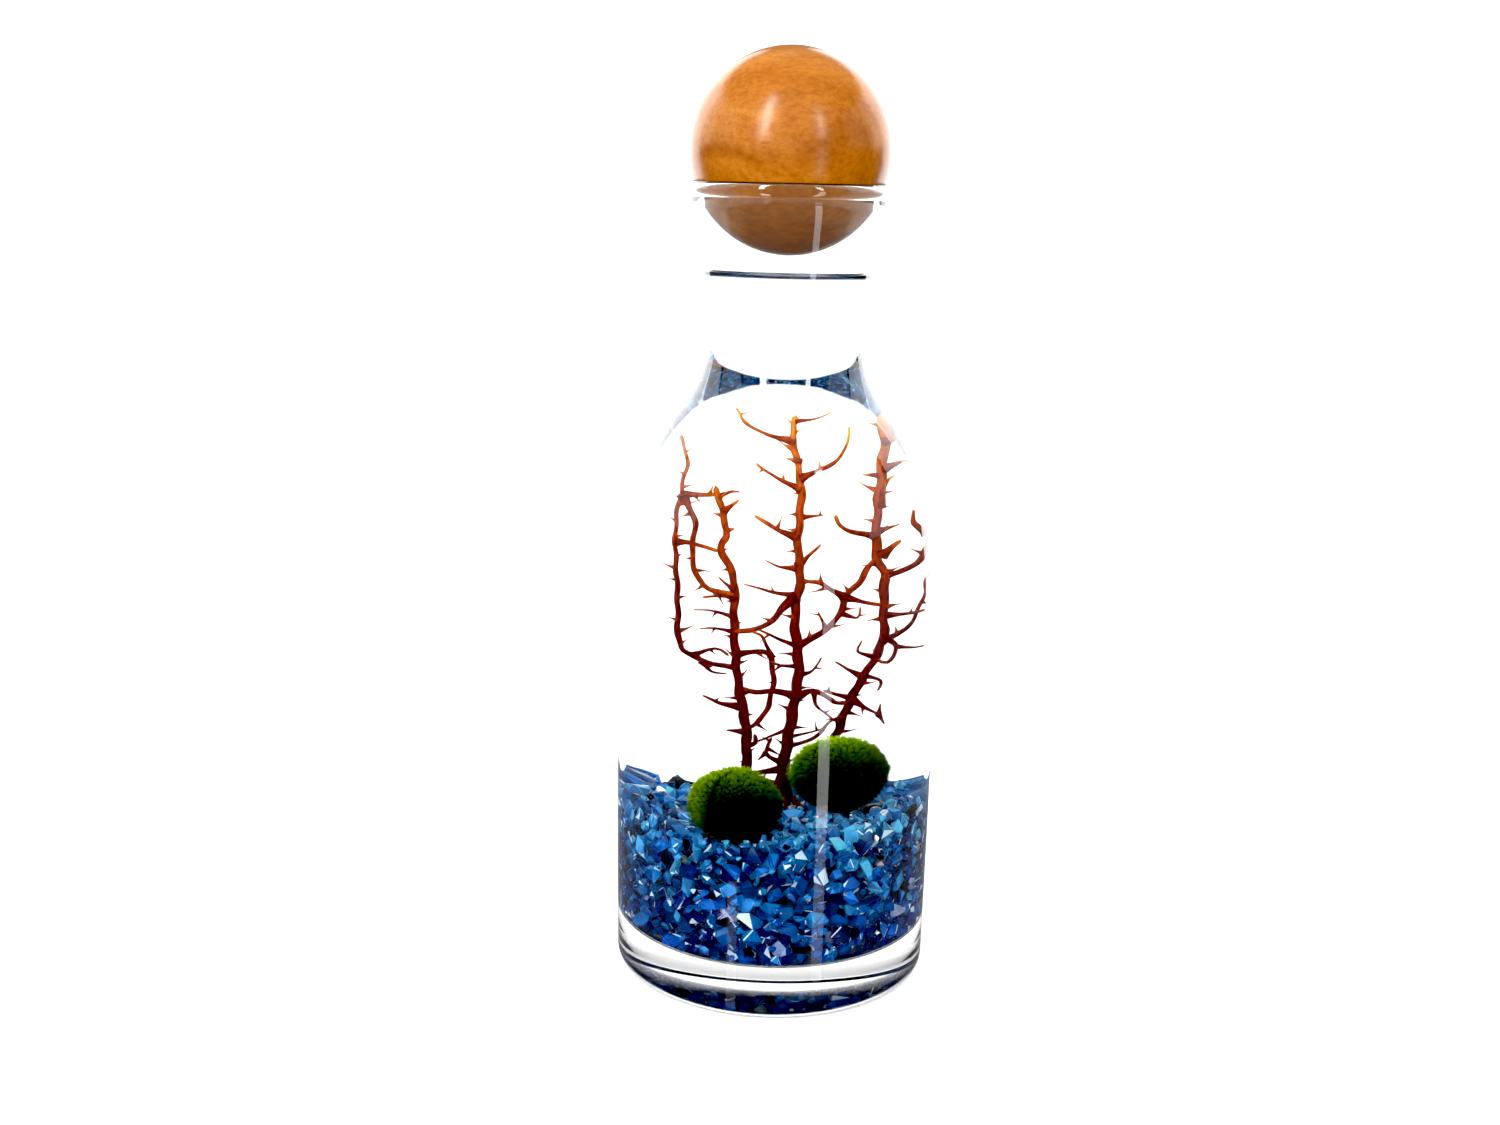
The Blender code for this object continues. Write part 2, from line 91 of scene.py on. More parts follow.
# ---- gravel ----
CHIP_RADII = (1.1, 3.6)  # smallest and largest chip
CHIP_GROWTH = 1.12  # of its points past its radius
CHIP_GAP = 0.06  # between the outermost chips and the glass
CHIP_SHAPES = 40  # different chips, each used at many sizes and turns
CHIP_CROWDING = 0.70  # neighbours' distance, as a share of their radii
CHIP_TRIES = 60000
CHIP_DROP = 1.5  # the chips' centres lie this far below the height of their tips
CORE_SETBACK = (6.5, 6.5, 8.5)  # the hidden core lies this far in from the wall, floor and top
CHIP_CLASSES = {  # name: share of the chips, colour, transmission, roughness
    "gravel_sky_chips": (0.42, (0.06, 0.50, 0.98), 0.55, 0.04),
    "gravel_cobalt_chips": (0.34, (0.006, 0.22, 0.62), 0.55, 0.04),
    "gravel_navy_chips": (0.17, (0.001, 0.032, 0.24), 0.50, 0.06),
    "gravel_black_chips": (0.04, (0.002, 0.002, 0.004), 0.0, 0.2),
    "gravel_white_chips": (0.016, (0.80, 0.86, 0.84), 0.0, 0.3),
    "gravel_grey_chips": (0.008, (0.24, 0.23, 0.22), 0.0, 0.4),
    "gravel_olive_chips": (0.006, (0.34, 0.38, 0.22), 0.0, 0.35),
}
CHIP_IOR = 1.3
FRACTURE_GLINTS_FROM = 0.69  # level of the noise above which a chip is painted with a pale glint along a fracture
GLINTS_FROM = 0.955  # level of painted facet light above which a facet is painted as a pale glint
# colour of the painted glints
GLINT_COLOUR = (0.72, 0.88, 0.95)
PAINTED_SKY_ON_BED = (0.20, 0.62, 0.95)  # painted light: the topmost chips are painted towards this pale blue, as lying in the open light

# ---- moss ----
FILAMENTS = 19000  # on each ball
TUFTS = 900  # groups of filaments whose tips lean together
TUFT_PULL = 0.45  # how far the tips lean towards the middle of their tuft
FILAMENT_LENGTH = (1.1, 2.2)
FILAMENT_RADIUS = 0.075  # at the root
FELT_DEPTH = 1.55  # the filaments' tips stand this far above the felt
MOSS_LUMPS = 0.35  # height of the balls' slow lumps
CREASE_DEPTH = 1.3
CREASE_WIDTH = 11.0  # degrees of azimuth
CREASE_SHADE = 0.9  # how much of their light the filaments lose in the crease
CREASE_SHADE_WIDTH = 5.0
LOBE_LIGHT = (0.35, -24.0, 15.0)  # light added beside the crease: amount, azimuth, width
SUN_SIDE = (-0.25, 0.50, 0.80)  # moss is painted lit towards here and painted shaded away from it
SUN_SPAN = (-0.40, 0.90)  # cosines between which it goes from dark to bright

# ---- light and camera ----
CAMERA_AT = (0.0, -408.4, 200.1)
CAMERA_YAW = -1.066  # degrees; to the left
CAMERA_PITCH = 12.76  # degrees down
CAMERA_ROLL = 1.335
FOCAL_PX = 1612.9  # focal length in pixels of the 1500 px wide photograph
PHOTO_WIDTH = 1500
SENSOR = 36.0
WORLD_STRENGTH = 1.3  # of the white backdrop as seen
WORLD_GLOSS = 0.25  # of its reflection in glass
CEILING_GLOSS = 0.5  # of the ceiling's reflection in the sloping shoulder
CEILING_SPAN = (0.45, 0.80)  # sines of the heights between which it grows to that
BACKDROP_SPAN = (-0.5, -0.1)  # the room in front, at less than these shares of +Y, is dim
SKY_TOWARDS = (-0.2, -0.9, 0.3)  # the soft light on surfaces comes mostly from here
SKY_SPAN = (-0.2, 0.95)  # cosines between which it grows to its full strength
SKY_LIGHT = (0.2, 4.3)  # its least and its full strength
FLOOR_BOUNCE = 0.3  # share of the floor's whiteness that lights the object
DIM_FROM = (-160.0, -80.0)  # glass mirrors the floor in front of here with that share only
BASE_CROSSINGS = 3.5  # a mirrored view of the floor through more faces is as dim
FLOOR_HALF = 1500.0
FLOOR_COLOUR = (0.9, 0.9, 0.9)
FLOOR_DROP = 0.3  # air under the foot
BLACK_LEVEL = 0.025  # what the picture shows as black
WHITE_LEVEL = 0.84
LIGHT_DISTANCE = 1500.0  # from the axis
LIGHT_TARGET = (0.0, 0.0, 120.0)
LIGHTS = (  # name, azimuth from the front, height, width, length, radiance
    ("lamp_left", -31.0, 1300.0, 300.0, 700.0, 5.0),
    ("lamp_right", 35.0, 1300.0, 220.0, 600.0, 4.0),
    ("window_left", -31.0, 1200.0, 200.0, 1500.0, 20.0),
    ("window_right", 35.0, 900.0, 150.0, 700.0, 11.0),
    ("strip_left", -27.0, -900.0, 200.0, 500.0, 0.7),
    ("strip_right", 35.0, -120.0, 210.0, 800.0, 3.6),
    ("strip_right_low", 35.0, -640.0, 210.0, 240.0, 1.5),
    ("panel_left", -146.0, 330.0, 1300.0, 1750.0, 4.0),
    ("panel_right", 150.0, 330.0, 1300.0, 1750.0, 4.0),
    ("panel_left_high", -112.0, 750.0, 700.0, 900.0, 2.2),
    ("panel_right_high", 114.0, 750.0, 700.0, 900.0, 2.2),
    ("panel_left_front", -80.0, 750.0, 800.0, 900.0, 1.0),
    ("panel_right_front", 82.0, 750.0, 800.0, 900.0, 1.0),
)


# ---- nodes ----
# In these helpers the owner is a material or the world, and a value is plain or a node's output.
def add_node(owner, kind, inputs=None, **settings):
    node = owner.node_tree.nodes.new(kind)
    for key, value in settings.items():
        setattr(node, key, value)
    for key, value in (inputs or {}).items():
        if isinstance(value, bpy.types.NodeSocket):
            owner.node_tree.links.new(value, node.inputs[key])
        elif node.inputs[key].type == "RGBA":
            node.inputs[key].default_value = (*value, 1.0)
        else:
            node.inputs[key].default_value = value
    return node


def new_material(name, colour, roughness, **inputs):
    """A Principled material; its further inputs are named with underscores for spaces."""
    mat = bpy.data.materials.new(name)
    mat.use_nodes = True
    mat.diffuse_color = (*colour, 1.0)
    shader = mat.node_tree.nodes["Principled BSDF"]
    shader.inputs["Base Color"].default_value = (*colour, 1.0)
    shader.inputs["Roughness"].default_value = roughness
    for key, value in inputs.items():
        shader.inputs[key.replace("_", " ")].default_value = value
    return mat


def to_shader(mat, name, source):
    mat.node_tree.links.new(source, mat.node_tree.nodes["Principled BSDF"].inputs[name])


def object_coordinates(mat, scale=(1.0, 1.0, 1.0)):
    """Object coordinates in units of one millimetre, times a stretch."""
    coordinates = add_node(mat, "ShaderNodeTexCoord").outputs["Object"]
    return add_node(mat, "ShaderNodeMapping", {
        "Vector": coordinates, "Scale": [s / MM for s in scale]}).outputs["Vector"]


def separate(owner, vector):
    return add_node(owner, "ShaderNodeSeparateXYZ", {"Vector": vector}).outputs


def noise(mat, vector, scale, detail=4.0, roughness=0.55, distortion=0.0):
    return add_node(mat, "ShaderNodeTexNoise", {
        "Vector": vector, "Scale": scale, "Detail": detail, "Roughness": roughness,
        "Distortion": distortion}).outputs["Fac"]


def attribute(mat, name):
    return add_node(mat, "ShaderNodeAttribute", attribute_name=name).outputs["Fac"]


def ramp(mat, factor, stops, interpolation="LINEAR"):
    """A colour ramp with stops of (position, colour)."""
    node = add_node(mat, "ShaderNodeValToRGB", {"Fac": factor})
    band = node.color_ramp
    band.interpolation = interpolation
    while len(band.elements) < len(stops):
        band.elements.new(0.5)
    for element, (position, colour) in zip(band.elements, stops):
        element.position = position
        element.color = (*colour, 1.0)
    return node.outputs["Color"]


def map_range(owner, value, span, ends, interpolation="LINEAR"):
    """Goes from the first end to the second while the value goes through the span."""
    return add_node(owner, "ShaderNodeMapRange", {
        "Value": value, "From Min": span[0], "From Max": span[1], "To Min": ends[0],
        "To Max": ends[1]}, interpolation_type=interpolation).outputs["Result"]


def mix_colours(mat, factor, colour_a, colour_b, mode="MIX"):
    return add_node(mat, "ShaderNodeMix", {0: factor, 6: colour_a, 7: colour_b},
                    data_type="RGBA", blend_type=mode).outputs[2]


def multiply(mat, colour_a, colour_b, share=1.0):
    return mix_colours(mat, share, colour_a, colour_b, "MULTIPLY")


def mix_values(owner, factor, value_a, value_b):
    return add_node(owner, "ShaderNodeMix", {
        "Factor": factor, "A": value_a, "B": value_b}).outputs["Result"]


def compute(owner, operation, *values):
    return add_node(owner, "ShaderNodeMath", dict(enumerate(values)),
                    operation=operation).outputs["Value"]


def bump(mat, height, strength, distance):
    node = add_node(mat, "ShaderNodeBump", {
        "Height": height, "Strength": strength, "Distance": distance * MM})
    to_shader(mat, "Normal", node.outputs["Normal"])


# ---- materials ----
def clear_material(name, ior, colour=WHITE):
    return new_material(name, colour, 0.0, Transmission_Weight=1.0, IOR=ior)


def wood_material():
    mat = new_material("varnished_wood", (0.3, 0.1, 0.01), 0.6, Specular_IOR_Level=0.0,
                       Coat_Weight=0.6, Coat_IOR=1.5, Coat_Roughness=0.22)
    grain = object_coordinates(mat, (0.55, 1.0, 1.0))
    patches = noise(mat, grain, 0.07, 3.0, 0.5, 0.8)
    flecks = noise(mat, grain, 0.9, 4.0, 0.6)
    fine = noise(mat, object_coordinates(mat, (0.4, 1.0, 1.6)), 3.0, 4.0, 0.65)
    base = ramp(mat, patches, [
        (0.30, (0.185, 0.056, 0.006)), (0.50, (0.24, 0.081, 0.010)), (0.70, (0.30, 0.112, 0.016))])
    flecked = multiply(mat, base, ramp(mat, flecks, [
        (0.36, (0.82, 0.74, 0.62)), (0.50, (0.98, 0.96, 0.92)), (0.64, (1.08, 1.10, 1.15))]), 0.8)
    grained = multiply(mat, flecked, ramp(mat, fine, [
        (0.35, (0.84, 0.78, 0.70)), (0.65, (1.12, 1.16, 1.2))]), 0.7)
    to_shader(mat, "Base Color", grained)
    bump(mat, flecks, 0.05, 0.05)
    return mat


def chip_material(name, colour, transmission, roughness):
    mat = new_material(name, colour, roughness, Transmission_Weight=transmission, IOR=CHIP_IOR)
    vector = object_coordinates(mat)
    painted_facet_light = attribute(mat, "painted_facet_light")
    dark = [0.5 * c for c in colour]
    light = [min(1.0, 1.5 * c + 0.06 * max(colour)) for c in colour]
    by_chip = ramp(mat, attribute(mat, "chip_tone"), [(0.0, dark), (0.55, colour), (1.0, light)])
    streaked = multiply(mat, by_chip, ramp(mat, noise(mat, vector, 0.35, 3.0, 0.6), [
        (0.35, (0.60, 0.64, 0.75)), (0.65, (1.25, 1.2, 1.25))]), 0.85)
    # Painted light and shade: chips are painted darker deep in the bed and lighter towards its top,
    # and the topmost paler still.
    height = map_range(mat, separate(mat, vector)["Z"], (FLOOR_TOP, BED_TOP), (0.0, 1.0))
    painted_height_light = multiply(mat, streaked, ramp(mat, height, [
        (0.0, (0.30, 0.38, 0.70)), (0.55, (0.62, 0.72, 0.90)), (1.0, (1.15, 1.15, 1.05))]))
    if transmission:
        sky = ramp(mat, height, [(0.86, BLACK), (1.0, (0.5, 0.5, 0.5))])
        painted_height_light = mix_colours(mat, sky, painted_height_light, PAINTED_SKY_ON_BED)
    # Painted light and shade: each facet is painted lighter or darker by its random level, as if it
    # faced the light or away from it.
    painted_facet_shade = multiply(mat, painted_height_light, ramp(mat, painted_facet_light, [
        (0.0, (0.18, 0.25, 0.42)), (0.5, (0.8, 0.85, 0.95)), (1.0, (1.7, 1.55, 1.5))]))
    if not transmission:
        to_shader(mat, "Base Color", painted_facet_shade)
        return mat
    # Painted glints: a few facets, and fractures inside the glass, are painted pale as if they
    # caught the light, and let less light through.
    painted_fracture_glints = ramp(mat, noise(mat, vector, 0.75, 4.0, 0.7, 1.5), [
        (FRACTURE_GLINTS_FROM, BLACK), (FRACTURE_GLINTS_FROM + 0.05, WHITE)])
    glints = ramp(mat, painted_facet_light, [(GLINTS_FROM, BLACK), (GLINTS_FROM, WHITE)], "CONSTANT")
    painted_glints = mix_colours(mat, 1.0, painted_fracture_glints, glints, "LIGHTEN")
    painted_glint_colour = [0.2 * c + 0.8 * p for c, p in zip(colour, GLINT_COLOUR)]
    to_shader(mat, "Base Color", mix_colours(mat, painted_glints, painted_facet_shade, painted_glint_colour))
    to_shader(mat, "Transmission Weight", map_range(mat, painted_glints, (0.0, 1.0), (transmission, 0.0)))
    return mat


def felt_material():
    # The felt's own dark green, deepened to near black as painted shade under the filaments.
    mat = new_material("moss_felt", (0.02, 0.05, 0.004), 1.0, Specular_IOR_Level=0.0)
    fibre = noise(mat, object_coordinates(mat), 2.2, 5.0, 0.7)
    to_shader(mat, "Base Color", ramp(mat, fibre, [
        (0.35, (0.002, 0.005, 0.001)), (0.65, (0.012, 0.030, 0.002))]))
    bump(mat, fibre, 0.8, 0.4)
    return mat


def filament_material():
    """Dark at the root, its own tone deepened by painted shade in the felt, and yellow-green at the
    tip; painted much darker on the shaded side.
    """
    mat = new_material("moss_filaments", (0.1, 0.25, 0.02), 0.9, Specular_IOR_Level=0.0)
    along = ramp(mat, attribute(mat, "filament_height"), [
        (0.0, (0.002, 0.006, 0.0005)), (0.45, (0.030, 0.085, 0.003)),
        (0.8, (0.14, 0.27, 0.008)), (1.0, (0.36, 0.50, 0.035))])
    tone = ramp(mat, attribute(mat, "filament_tone"), [
        (0.0, (0.35, 0.48, 0.30)), (0.5, (0.85, 0.92, 0.7)), (1.0, (1.5, 1.25, 0.9))])
    light = ramp(mat, attribute(mat, "filament_light"), [
        (0.0, (0.05, 0.065, 0.05)), (0.2, (0.14, 0.18, 0.12)), (0.4, (0.38, 0.46, 0.28)),
        (0.65, (0.95, 1.0, 0.75)), (1.0, (2.5, 2.2, 1.8))])
    to_shader(mat, "Base Color", multiply(mat, multiply(mat, along, tone), light))
    return mat


def sea_fan_material():
    mat = new_material("sea_fan", (0.35, 0.07, 0.02), 0.6, Specular_IOR_Level=0.05)
    along = ramp(mat, attribute(mat, "fan_tone"), [
        (0.0, (0.028, 0.003, 0.003)), (0.30, (0.085, 0.007, 0.006)), (0.58, (0.25, 0.036, 0.010)),
        (0.80, (0.44, 0.115, 0.016)), (1.0, (0.72, 0.35, 0.05))])
    streaks = noise(mat, object_coordinates(mat, (1.0, 1.0, 0.35)), 1.4, 4.0, 0.6)
    to_shader(mat, "Base Color", multiply(mat, along, ramp(mat, streaks, [
        (0.35, (0.40, 0.28, 0.25)), (0.65, (1.35, 1.3, 1.1))]), 0.75))
    bump(mat, streaks, 0.4, 0.12)
    return mat


# ---- mesh helpers ----
def add_piece(name, verts, faces, materials, face_slots=None, smooth_angle=None, attributes=None):
    """A mesh object from points in millimetres; attributes are {name: one value per point}."""
    mesh = bpy.data.meshes.new(name)
    mesh.from_pydata((np.asarray(verts, float) * MM).tolist(), [], [list(face) for face in faces])
    for mat in materials:
        mesh.materials.append(mat)
    if face_slots is not None:
        mesh.polygons.foreach_set("material_index", np.asarray(face_slots, np.int32))
    for key, values in (attributes or {}).items():
        layer = mesh.attributes.new(key, "FLOAT", "POINT")
        layer.data.foreach_set("value", np.asarray(values, np.float32))
    mesh.update()
    if smooth_angle:
        mesh.shade_smooth()
        if smooth_angle < 180.0:
            mesh.set_sharp_from_angle(angle=math.radians(smooth_angle))
    obj = bpy.data.objects.new(name, mesh)
    bpy.context.scene.collection.objects.link(obj)
    return obj


def keep(obj, node):
    """Put a piece on the part's one body, in place of a node's solid."""
    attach(obj, "root")
    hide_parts(node)


class Pile:
    """Gathers many small meshes into one, with a tone at each point."""

    def __init__(self):
        self.verts = []
        self.faces = []
        self.tones = []
        self.count = 0

    def add(self, verts, faces, tones):
        self.verts.append(verts)
        self.faces.append(np.asarray(faces) + self.count)
        self.tones.append(tones)
        self.count += len(verts)

    def make_piece(self, name, mat, tone_name, smooth_angle=None):
        tones = {tone_name: np.concatenate(self.tones)}
        return add_piece(name, np.vstack(self.verts), np.vstack(self.faces), [mat],
                         smooth_angle=smooth_angle, attributes=tones)


def unit(vectors):
    """Vectors scaled to a length of one."""
    vectors = np.asarray(vectors, float)
    return vectors / np.linalg.norm(vectors, axis=-1, keepdims=True)


def distances(points):
    """How far along its line each point lies."""
    return np.concatenate([[0.0], np.cumsum(np.linalg.norm(np.diff(points, axis=0), axis=1))])


def read_mesh(bm):
    """Points and faces of a bmesh, which is freed."""
    bm.verts.index_update()
    verts = np.array([vert.co for vert in bm.verts])
    faces = [[vert.index for vert in face.verts] for face in bm.faces]
    bm.free()
    return verts, faces


def turned(profile, sides=TURN_SIDES):
    """Points and faces of a profile of (radius, height) turned about the axis. An end on the axis
    is closed to one point. Returns the profile span of each face too."""
    angles = np.arange(sides) * 2.0 * math.pi / sides
    verts = []
    rings = []
    for radius, height in profile:
        if radius < 1e-6:
            rings.append([len(verts)])
            verts.append((0.0, 0.0, height))
            continue
        rings.append(list(range(len(verts), len(verts) + sides)))
        verts.extend((radius * math.cos(a), radius * math.sin(a), height) for a in angles)
    faces = []
    spans = []
    for span, (ring_a, ring_b) in enumerate(zip(rings, rings[1:])):
        for i in range(sides):
            j = (i + 1) % sides
            if len(ring_a) == 1:
                faces.append((ring_a[0], ring_b[j], ring_b[i]))
            elif len(ring_b) == 1:
                faces.append((ring_a[i], ring_a[j], ring_b[0]))
            else:
                faces.append((ring_a[i], ring_a[j], ring_b[j], ring_b[i]))
            spans.append(span)
    return verts, faces, spans


def arc(centre, radius_x, radius_z, start, end, steps):
    angles = np.radians(np.linspace(start, end, steps + 1))
    offsets = np.column_stack([radius_x * np.cos(angles), radius_z * np.sin(angles)])
    return np.asarray(centre) + offsets


def smooth_line(stations, step):
    """Points about every step along a smooth curve through the stations."""
    stations = np.asarray(stations, float)
    along = distances(stations)
    tangents = np.gradient(stations, along, axis=0)
    points = []
    for i, length in enumerate(np.diff(along)):
        count = max(1, round(length / step))
        for t in np.arange(count) / count:
            points.append((2 * t ** 3 - 3 * t ** 2 + 1) * stations[i]
                          + (t ** 3 - 2 * t ** 2 + t) * length * tangents[i]
                          + (3 * t ** 2 - 2 * t ** 3) * stations[i + 1]
                          + (t ** 3 - t ** 2) * length * tangents[i + 1])
    points.append(stations[-1])
    return np.array(points)


# ---- carafe and water ----
def inner_wall(outer):
    """The fine outer wall set in by the glass thickness, square to the wall."""
    run = unit(np.gradient(outer, axis=0))
    share = np.clip((outer[:, 1] - THINNING[0]) / (THINNING[1] - THINNING[0]), 0.0, 1.0)
    wall = BODY_WALL + (NECK_WALL - BODY_WALL) * share
    inner = np.column_stack([outer[:, 0] - wall * run[:, 1], outer[:, 1] + wall * run[:, 0]])
    straight = np.linspace(FLOOR_TOP + FLOOR_ROUND, STRAIGHT_WALL[1], 12, endpoint=False)[1:]
    below = np.column_stack([np.full_like(straight, STRAIGHT_WALL[0]), straight])
    return np.vstack([below, inner[inner[:, 1] > STRAIGHT_WALL[1]]])


OUTER = smooth_line(OUTER_WALL, WALL_STEP)
OUTER[:, 0] = np.minimum(OUTER[:, 0], BODY_RADIUS)
INNER = inner_wall(OUTER)


def floor_corner(radius):
    """The round between the vessel's floor and its wall, from the floor up."""
    centre = (STRAIGHT_WALL[0] - FLOOR_ROUND, FLOOR_TOP + FLOOR_ROUND)
    return arc(centre, radius, radius, -90.0, 0.0, 8)


def make_carafe():
    shares = np.linspace(0.0, 1.0, 25)
    under = np.column_stack([FOOT_RING[0] * shares, PUSH_UP * (1.0 - shares ** 3)])
    foot = arc((FOOT_RING[1], FOOT_ROUND), FOOT_ROUND, FOOT_ROUND, -90.0, 0.0, 8)
    lip = arc(LIP_CENTRE, LIP_HALF_WIDTH, LIP_HALF_HEIGHT, -45.0, 225.0, 24)
    floor = [(24.0, FLOOR_TOP), (12.0, FLOOR_TOP), (0.0, FLOOR_TOP)]
    parts = [under, foot, OUTER, lip, INNER[::-1], floor_corner(FLOOR_ROUND)[::-1], floor]
    profile = np.vstack(parts)
    inside_from = sum(len(part) for part in parts[:4])
    verts, faces, spans = turned(profile)
    wet_top = WATER_TOP + MENISCUS_RISE
    slots = [int(span >= inside_from and profile[span][1] <= wet_top) for span in spans]
    materials = [clear_material("clear_glass", GLASS_IOR, GLASS_COLOUR),
                 clear_material("clear_glass_wetted", GLASS_IOR / WATER_IOR, GLASS_COLOUR)]
    carafe = add_piece("carafe_glass", verts, faces, materials, slots, smooth_angle=50.0)
    keep(carafe, "glass_carafe")


def make_water():
    """The water's top refracts. Its sides touch the glass, whose wetted faces already bend light
    between glass and water, so they are plain."""
    rim = float(np.interp(WATER_TOP, INNER[:, 1], INNER[:, 0])) - WATER_GAP
    steps = (0.0, 0.1, 0.25, 0.5, 0.8, 1.2, 1.8, 2.6, 4.0, 8.0)
    surface = [(rim - d, WATER_TOP + MENISCUS_RISE * math.exp(-d / MENISCUS_REACH)) for d in steps]
    side = INNER[INNER[:, 1] < WATER_TOP - 0.5] - (WATER_GAP, 0.0)
    corner = floor_corner(FLOOR_ROUND - WATER_GAP)
    profile = np.vstack([[(0.0, FLOOR_TOP + WATER_GAP)], corner, side, surface, [(0.0, WATER_TOP)]])
    verts, faces, spans = turned(profile)
    surface_from = 1 + len(corner) + len(side)
    slots = [int(span < surface_from) for span in spans]
    materials = [clear_material("water_surface", WATER_IOR), clear_material("water_body", 1.0)]
    water = add_piece("carafe_water", verts, faces, materials, slots, smooth_angle=60.0)
    keep(water, "water")


# ---- wooden ball ----
def make_stopper():
    """A turned ball whose surface dips by a few hundredths of a millimetre along the grain."""
    bm = bmesh.new()
    bmesh.ops.create_uvsphere(bm, u_segments=128, v_segments=96, radius=1.0)
    for vert in bm.verts:
        x, y, z = vert.co
        waves = math.sin(31.0 * x + 4.0 * y) * math.sin(27.0 * z + 3.0 * y)
        waves += math.sin(9.0 * x - 7.0 * z)
        vert.co = vert.co * (STOPPER_RADIUS - 0.02 + 0.01 * waves)
        vert.co.z += STOPPER_CENTRE
    ball = add_piece("stopper_ball", *read_mesh(bm), [wood_material()], smooth_angle=180.0)
    keep(ball, "ball_stopper")


# ---- gravel ----
def bed_height(x, y):
    """Height of the gravel's tips: it falls a little towards the back and the glass."""
    slope = 0.012 * x - 0.035 * y
    waves = 0.6 * math.sin(0.19 * x + 0.6) * math.cos(0.17 * y - 0.4)
    waves += 0.4 * math.sin(0.31 * y + 1.0)
    return BED_TOP + slope + waves - BED_DROP * (math.hypot(x, y) / STRAIGHT_WALL[0]) ** 3


def chip_shape(rng):
    """An angular chip of broken glass: the hull of a few points, with its edges just blunted.
    Returns its points, its faces and a random level of painted light for each of its facets."""
    bm = bmesh.new()
    points = unit(rng.normal(size=(rng.integers(9, 14), 3)))
    points *= np.array([1.0, rng.uniform(0.62, 0.95), rng.uniform(0.45, 0.85)])
    for point in points:
        bm.verts.new(point)
    hull = bmesh.ops.convex_hull(bm, input=bm.verts)
    bmesh.ops.delete(bm, geom=hull["geom_interior"] + hull["geom_unused"], context="VERTS")
    bmesh.ops.dissolve_limit(bm, angle_limit=math.radians(14.0), verts=bm.verts, edges=bm.edges)
    bmesh.ops.bevel(bm, geom=bm.edges, offset=0.05, segments=1, affect="EDGES")
    # Each facet gets a random level of painted light, which shades it lighter or darker.
    facet = bm.faces.layers.float.new("facet")
    for face in bm.faces:
        face[facet] = rng.uniform()
    bmesh.ops.triangulate(bm, faces=bm.faces)
    tones = np.array([face[facet] for face in bm.faces])
    return *read_mesh(bm), tones


def random_turn(rng):
    """A random rotation matrix."""
    w, x, y, z = unit(rng.normal(size=4))
    return np.array([
        [1 - 2 * (y * y + z * z), 2 * (x * y - w * z), 2 * (x * z + w * y)],
        [2 * (x * y + w * z), 1 - 2 * (x * x + z * z), 2 * (y * z - w * x)],
        [2 * (x * z - w * y), 2 * (y * z + w * x), 1 - 2 * (x * x + y * y)],
    ])


def in_moss(point, margin):
    for centre, half_sizes, _ in MOSS_BALLS.values():
        offset = (np.asarray(point) - centre) / (np.asarray(half_sizes) + margin)
        if offset @ offset < 1.0:
            return True
    return False


def chip_places(rng):
    """Centres and radii of chips, from the largest down, that fill the bed outside its core."""
    smallest, largest = CHIP_RADII
    radii = np.sort(smallest + (largest - smallest) * rng.beta(1.1, 2.6, CHIP_TRIES))[::-1]
    wall = STRAIGHT_WALL[0]
    centres = np.zeros((0, 3))
    kept = np.zeros(0)
    for radius in radii:
        reach = (wall - 0.55 * radius) * math.sqrt(rng.uniform())
        angle = rng.uniform(0.0, 2.0 * math.pi)
        x, y = reach * math.cos(angle), reach * math.sin(angle)
        top = bed_height(x, y) - CHIP_DROP - 0.35 * radius
        z = rng.uniform(FLOOR_TOP + 0.5 * radius, top)
        hidden = (reach < wall - CORE_SETBACK[0] - 0.5 and z > FLOOR_TOP + CORE_SETBACK[1] + 0.5
                  and z < top - CORE_SETBACK[2] + CHIP_DROP)
        if hidden or in_moss((x, y, z), 0.55 * radius):
            continue
        if len(kept):
            apart = np.linalg.norm(centres - (x, y, z), axis=1)
            if np.any(apart < CHIP_CROWDING * (kept + radius)):
                continue
        centres = np.vstack([centres, (x, y, z)])
        kept = np.append(kept, radius)
    return centres, kept


def settle(verts):
    """Move a chip so that it just touches the glass where it would pass through it."""
    for _ in range(3):
        verts[:, 2] += max(0.0, FLOOR_TOP + CHIP_GAP - verts[:, 2].min())
        reach = np.linalg.norm(verts[:, :2], axis=1)
        depth = np.clip(FLOOR_TOP + FLOOR_ROUND - verts[:, 2], 0.0, FLOOR_ROUND)
        corner = FLOOR_ROUND - np.sqrt(FLOOR_ROUND ** 2 - depth ** 2)
        over = reach - (STRAIGHT_WALL[0] - CHIP_GAP - corner)
        worst = int(np.argmax(over))
        if over[worst] > 0.0:
            verts[:, :2] -= verts[worst, :2] / reach[worst] * over[worst]
    return verts


def make_gravel():
    rng = np.random.default_rng(5)
    shapes = [chip_shape(rng) for _ in range(CHIP_SHAPES)]
    centres, radii = chip_places(rng)
    names = list(CHIP_CLASSES)
    shares = np.array([CHIP_CLASSES[name][0] for name in names])
    classes = rng.choice(len(names), size=len(radii), p=shares / shares.sum())
    piles = [(Pile(), []) for _ in names]
    for centre, radius, kind in zip(centres, radii, classes):
        shape, faces, facets = shapes[rng.integers(len(shapes))]
        verts = settle(shape @ random_turn(rng).T * radius * CHIP_GROWTH + centre)
        pile, painted_facet_lights = piles[kind]
        pile.add(verts, faces, np.full(len(verts), rng.uniform()))
        # The chip's facets get their levels of painted light, turned by a random amount.
        painted_facet_lights.append((facets + rng.uniform()) % 1.0)
    for name, (pile, painted_facet_lights) in zip(names, piles):
        chips = pile.make_piece(name, chip_material(name, *CHIP_CLASSES[name][1:]), "chip_tone")
        layer = chips.data.attributes.new("painted_facet_light", "FLOAT", "FACE")
        layer.data.foreach_set("value", np.concatenate(painted_facet_lights).astype(np.float32))
        keep(chips, "gravel_bed")


